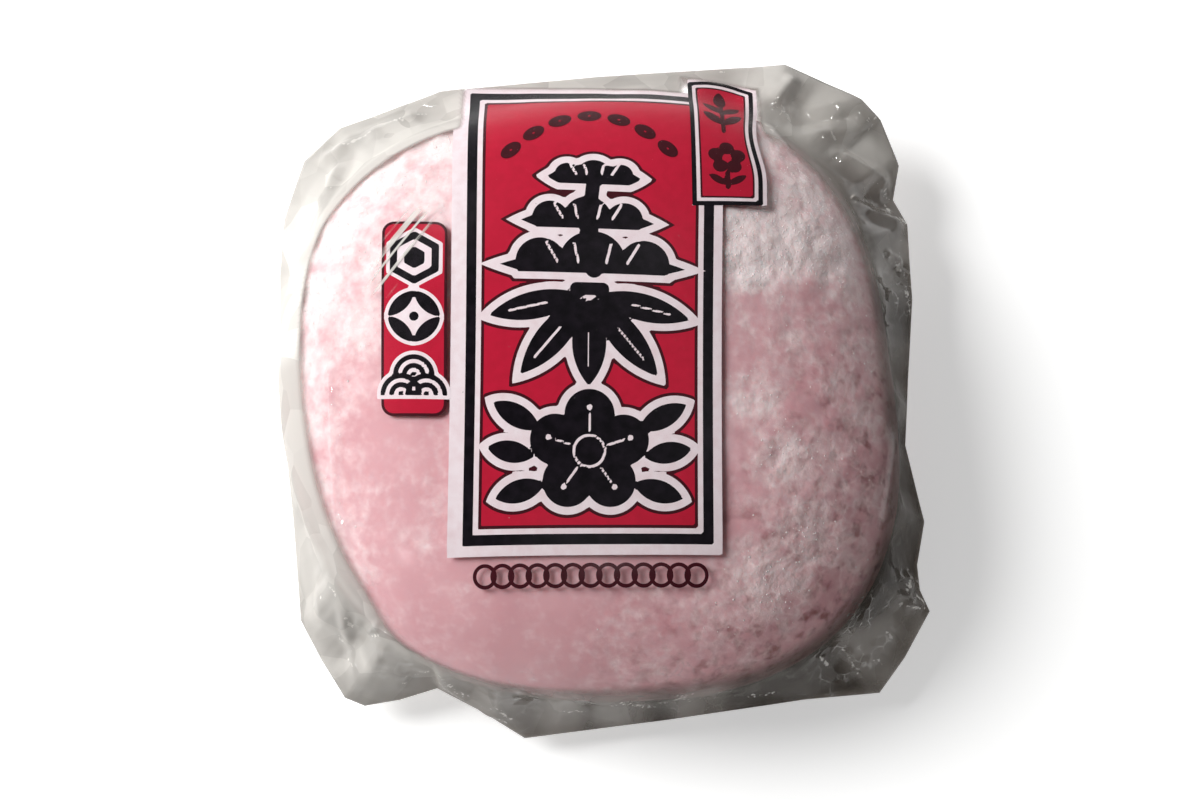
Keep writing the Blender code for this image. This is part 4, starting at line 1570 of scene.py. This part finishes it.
class MOCHI_OT_starch(bpy.types.Operator):
    """Scatters clumps of starch on the sweet"""

    bl_idname = "mochi.starch"
    bl_label = "Starch"

    def execute(self, context):
        settings = context.scene.mochi_starch
        material = starch_material(settings)
        sweet = bpy.data.objects["mochi"].data.copy()
        mesh = run_tree(clump_tree(), sweet, {
            "Density": settings.density,
            "Smallest": settings.smallest,
            "Largest": settings.largest,
            "Flatness": settings.flatness,
            "Material": material,
        }, "starch_clumps")
        mesh.shade_smooth()
        add_piece("starch_clumps", mesh, material, "starch")
        return {"FINISHED"}


class MOCHI_OT_film(bpy.types.Operator):
    """Wraps the sweet in clear film"""

    bl_idname = "mochi.film"
    bl_label = "Film"

    def execute(self, context):
        settings = context.scene.mochi_film
        film = add_piece("clear_film", make_film_mesh(settings), film_material(settings), "clear_film")
        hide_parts(NODE)
        return {"FINISHED"}


class MOCHI_OT_print(bpy.types.Operator):
    """Prints the labels' fields of colour on the inner side of the film"""

    bl_idname = "mochi.print"
    bl_label = "Print"

    def execute(self, context):
        settings = context.scene.mochi_print
        # For each ink its colour, its colour where it went on thin, and its roughness
        finishes = {
            WHITE: (settings.white, linear("#e0c4c8"), 0.5),
            BLACK: (settings.black, linear("#241d26"), 0.4),
            RED: (settings.red, linear("#ab1a30"), 0.45),
            MAROON: (settings.maroon, linear("#4d1420"), 0.45),
        }
        labels = (
            (panel_inks(), make_box_map(PANEL_CORNERS, PANEL_SIZE, PANEL_DRAW_IN), PANEL_DEPTH),
            (cartouche_inks(), make_box_map(CARTOUCHE_CORNERS, CARTOUCHE_SIZE), CARTOUCHE_DEPTH),
            (flag_inks(), make_box_map(FLAG_CORNERS, FLAG_SIZE), FLAG_DEPTH),
        )
        surface = film_surface()
        for ink, finish in finishes.items():
            parts = [(to_plan(inks[ink]), depth) for inks, to_plan, depth in labels if ink in inks]
            material = ink_material(ink.replace("_", " ") + " on film", *finish)
            add_piece(ink, make_flat_mesh(ink, *drape(parts, surface)), material, ink)
        return {"FINISHED"}


class MOCHI_OT_ornaments(bpy.types.Operator):
    """Prints an arc of beans over the plants and a line of linked rings under the label"""

    bl_idname = "mochi.ornaments"
    bl_label = "Ornaments"

    def execute(self, context):
        settings = context.scene.mochi_ornaments
        material = bpy.data.objects[MAROON].data.materials[0]
        tree = row_tree()
        x, y, rise, reach = BEAN_ARC
        shares = [2 * i / ARC_STEPS - 1 for i in range(ARC_STEPS + 1)]
        arc = [(x + reach * share, y + rise * (1 - share * share)) for share in shares]
        bean, ring = settings.bean_length / 2, settings.ring_size / 2
        rows = (
            ("bean_arc", arc, settings.bean_count, (bean, BEAN_PLUMPNESS * bean, 1.0), BEAN_HOLE),
            ("ring_line", RING_LINE, settings.ring_count, (ring, ring, 1.0), RING_HOLE),
        )
        for name, path, amount, size, hole in rows:
            mesh = run_tree(tree, guide_line(path), {
                "Count": amount,
                "Size": size,
                "Hole": hole,
                "Depth": ORNAMENT_DEPTH * MM,
                "Film": bpy.data.objects["clear_film"],
                "Material": material,
            }, name)
            add_piece(name, mesh, material, MAROON)
        return {"FINISHED"}


class MOCHI_PT_panel(bpy.types.Panel):
    """Lists the pieces' operators and settings"""

    bl_idname = "MOCHI_PT_panel"
    bl_label = "Wrapped Mochi"
    bl_space_type = "VIEW_3D"
    bl_region_type = "UI"
    bl_category = "Mochi"

    def draw(self, context):
        for operator, pointer, _ in STEPS:
            self.layout.operator(operator.bl_idname)
            settings = getattr(context.scene, pointer)
            for name in settings.bl_rna.properties.keys():
                if name not in ("rna_type", "name"):
                    self.layout.prop(settings, name)


# The operators in the order that they run, each with its settings' name in the scene and their class
STEPS = (
    (MOCHI_OT_stage, "mochi_stage", StageSettings),
    (MOCHI_OT_sweet, "mochi_sweet", SweetSettings),
    (MOCHI_OT_starch, "mochi_starch", StarchSettings),
    (MOCHI_OT_film, "mochi_film", FilmSettings),
    (MOCHI_OT_print, "mochi_print", PrintSettings),
    (MOCHI_OT_ornaments, "mochi_ornaments", OrnamentSettings),
)


def register():
    for operator, pointer, group in STEPS:
        bpy.utils.register_class(group)
        setattr(bpy.types.Scene, pointer, PointerProperty(type=group))
        bpy.utils.register_class(operator)
    bpy.utils.register_class(MOCHI_PT_panel)


def unregister():
    bpy.utils.unregister_class(MOCHI_PT_panel)
    for operator, pointer, group in reversed(STEPS):
        bpy.utils.unregister_class(operator)
        delattr(bpy.types.Scene, pointer)
        bpy.utils.unregister_class(group)


def main():
    register()
    bpy.ops.mochi.stage()
    bpy.ops.mochi.sweet()
    bpy.ops.mochi.starch()
    bpy.ops.mochi.film()
    bpy.ops.mochi.print()
    bpy.ops.mochi.ornaments()


if __name__ == "__main__":
    main()
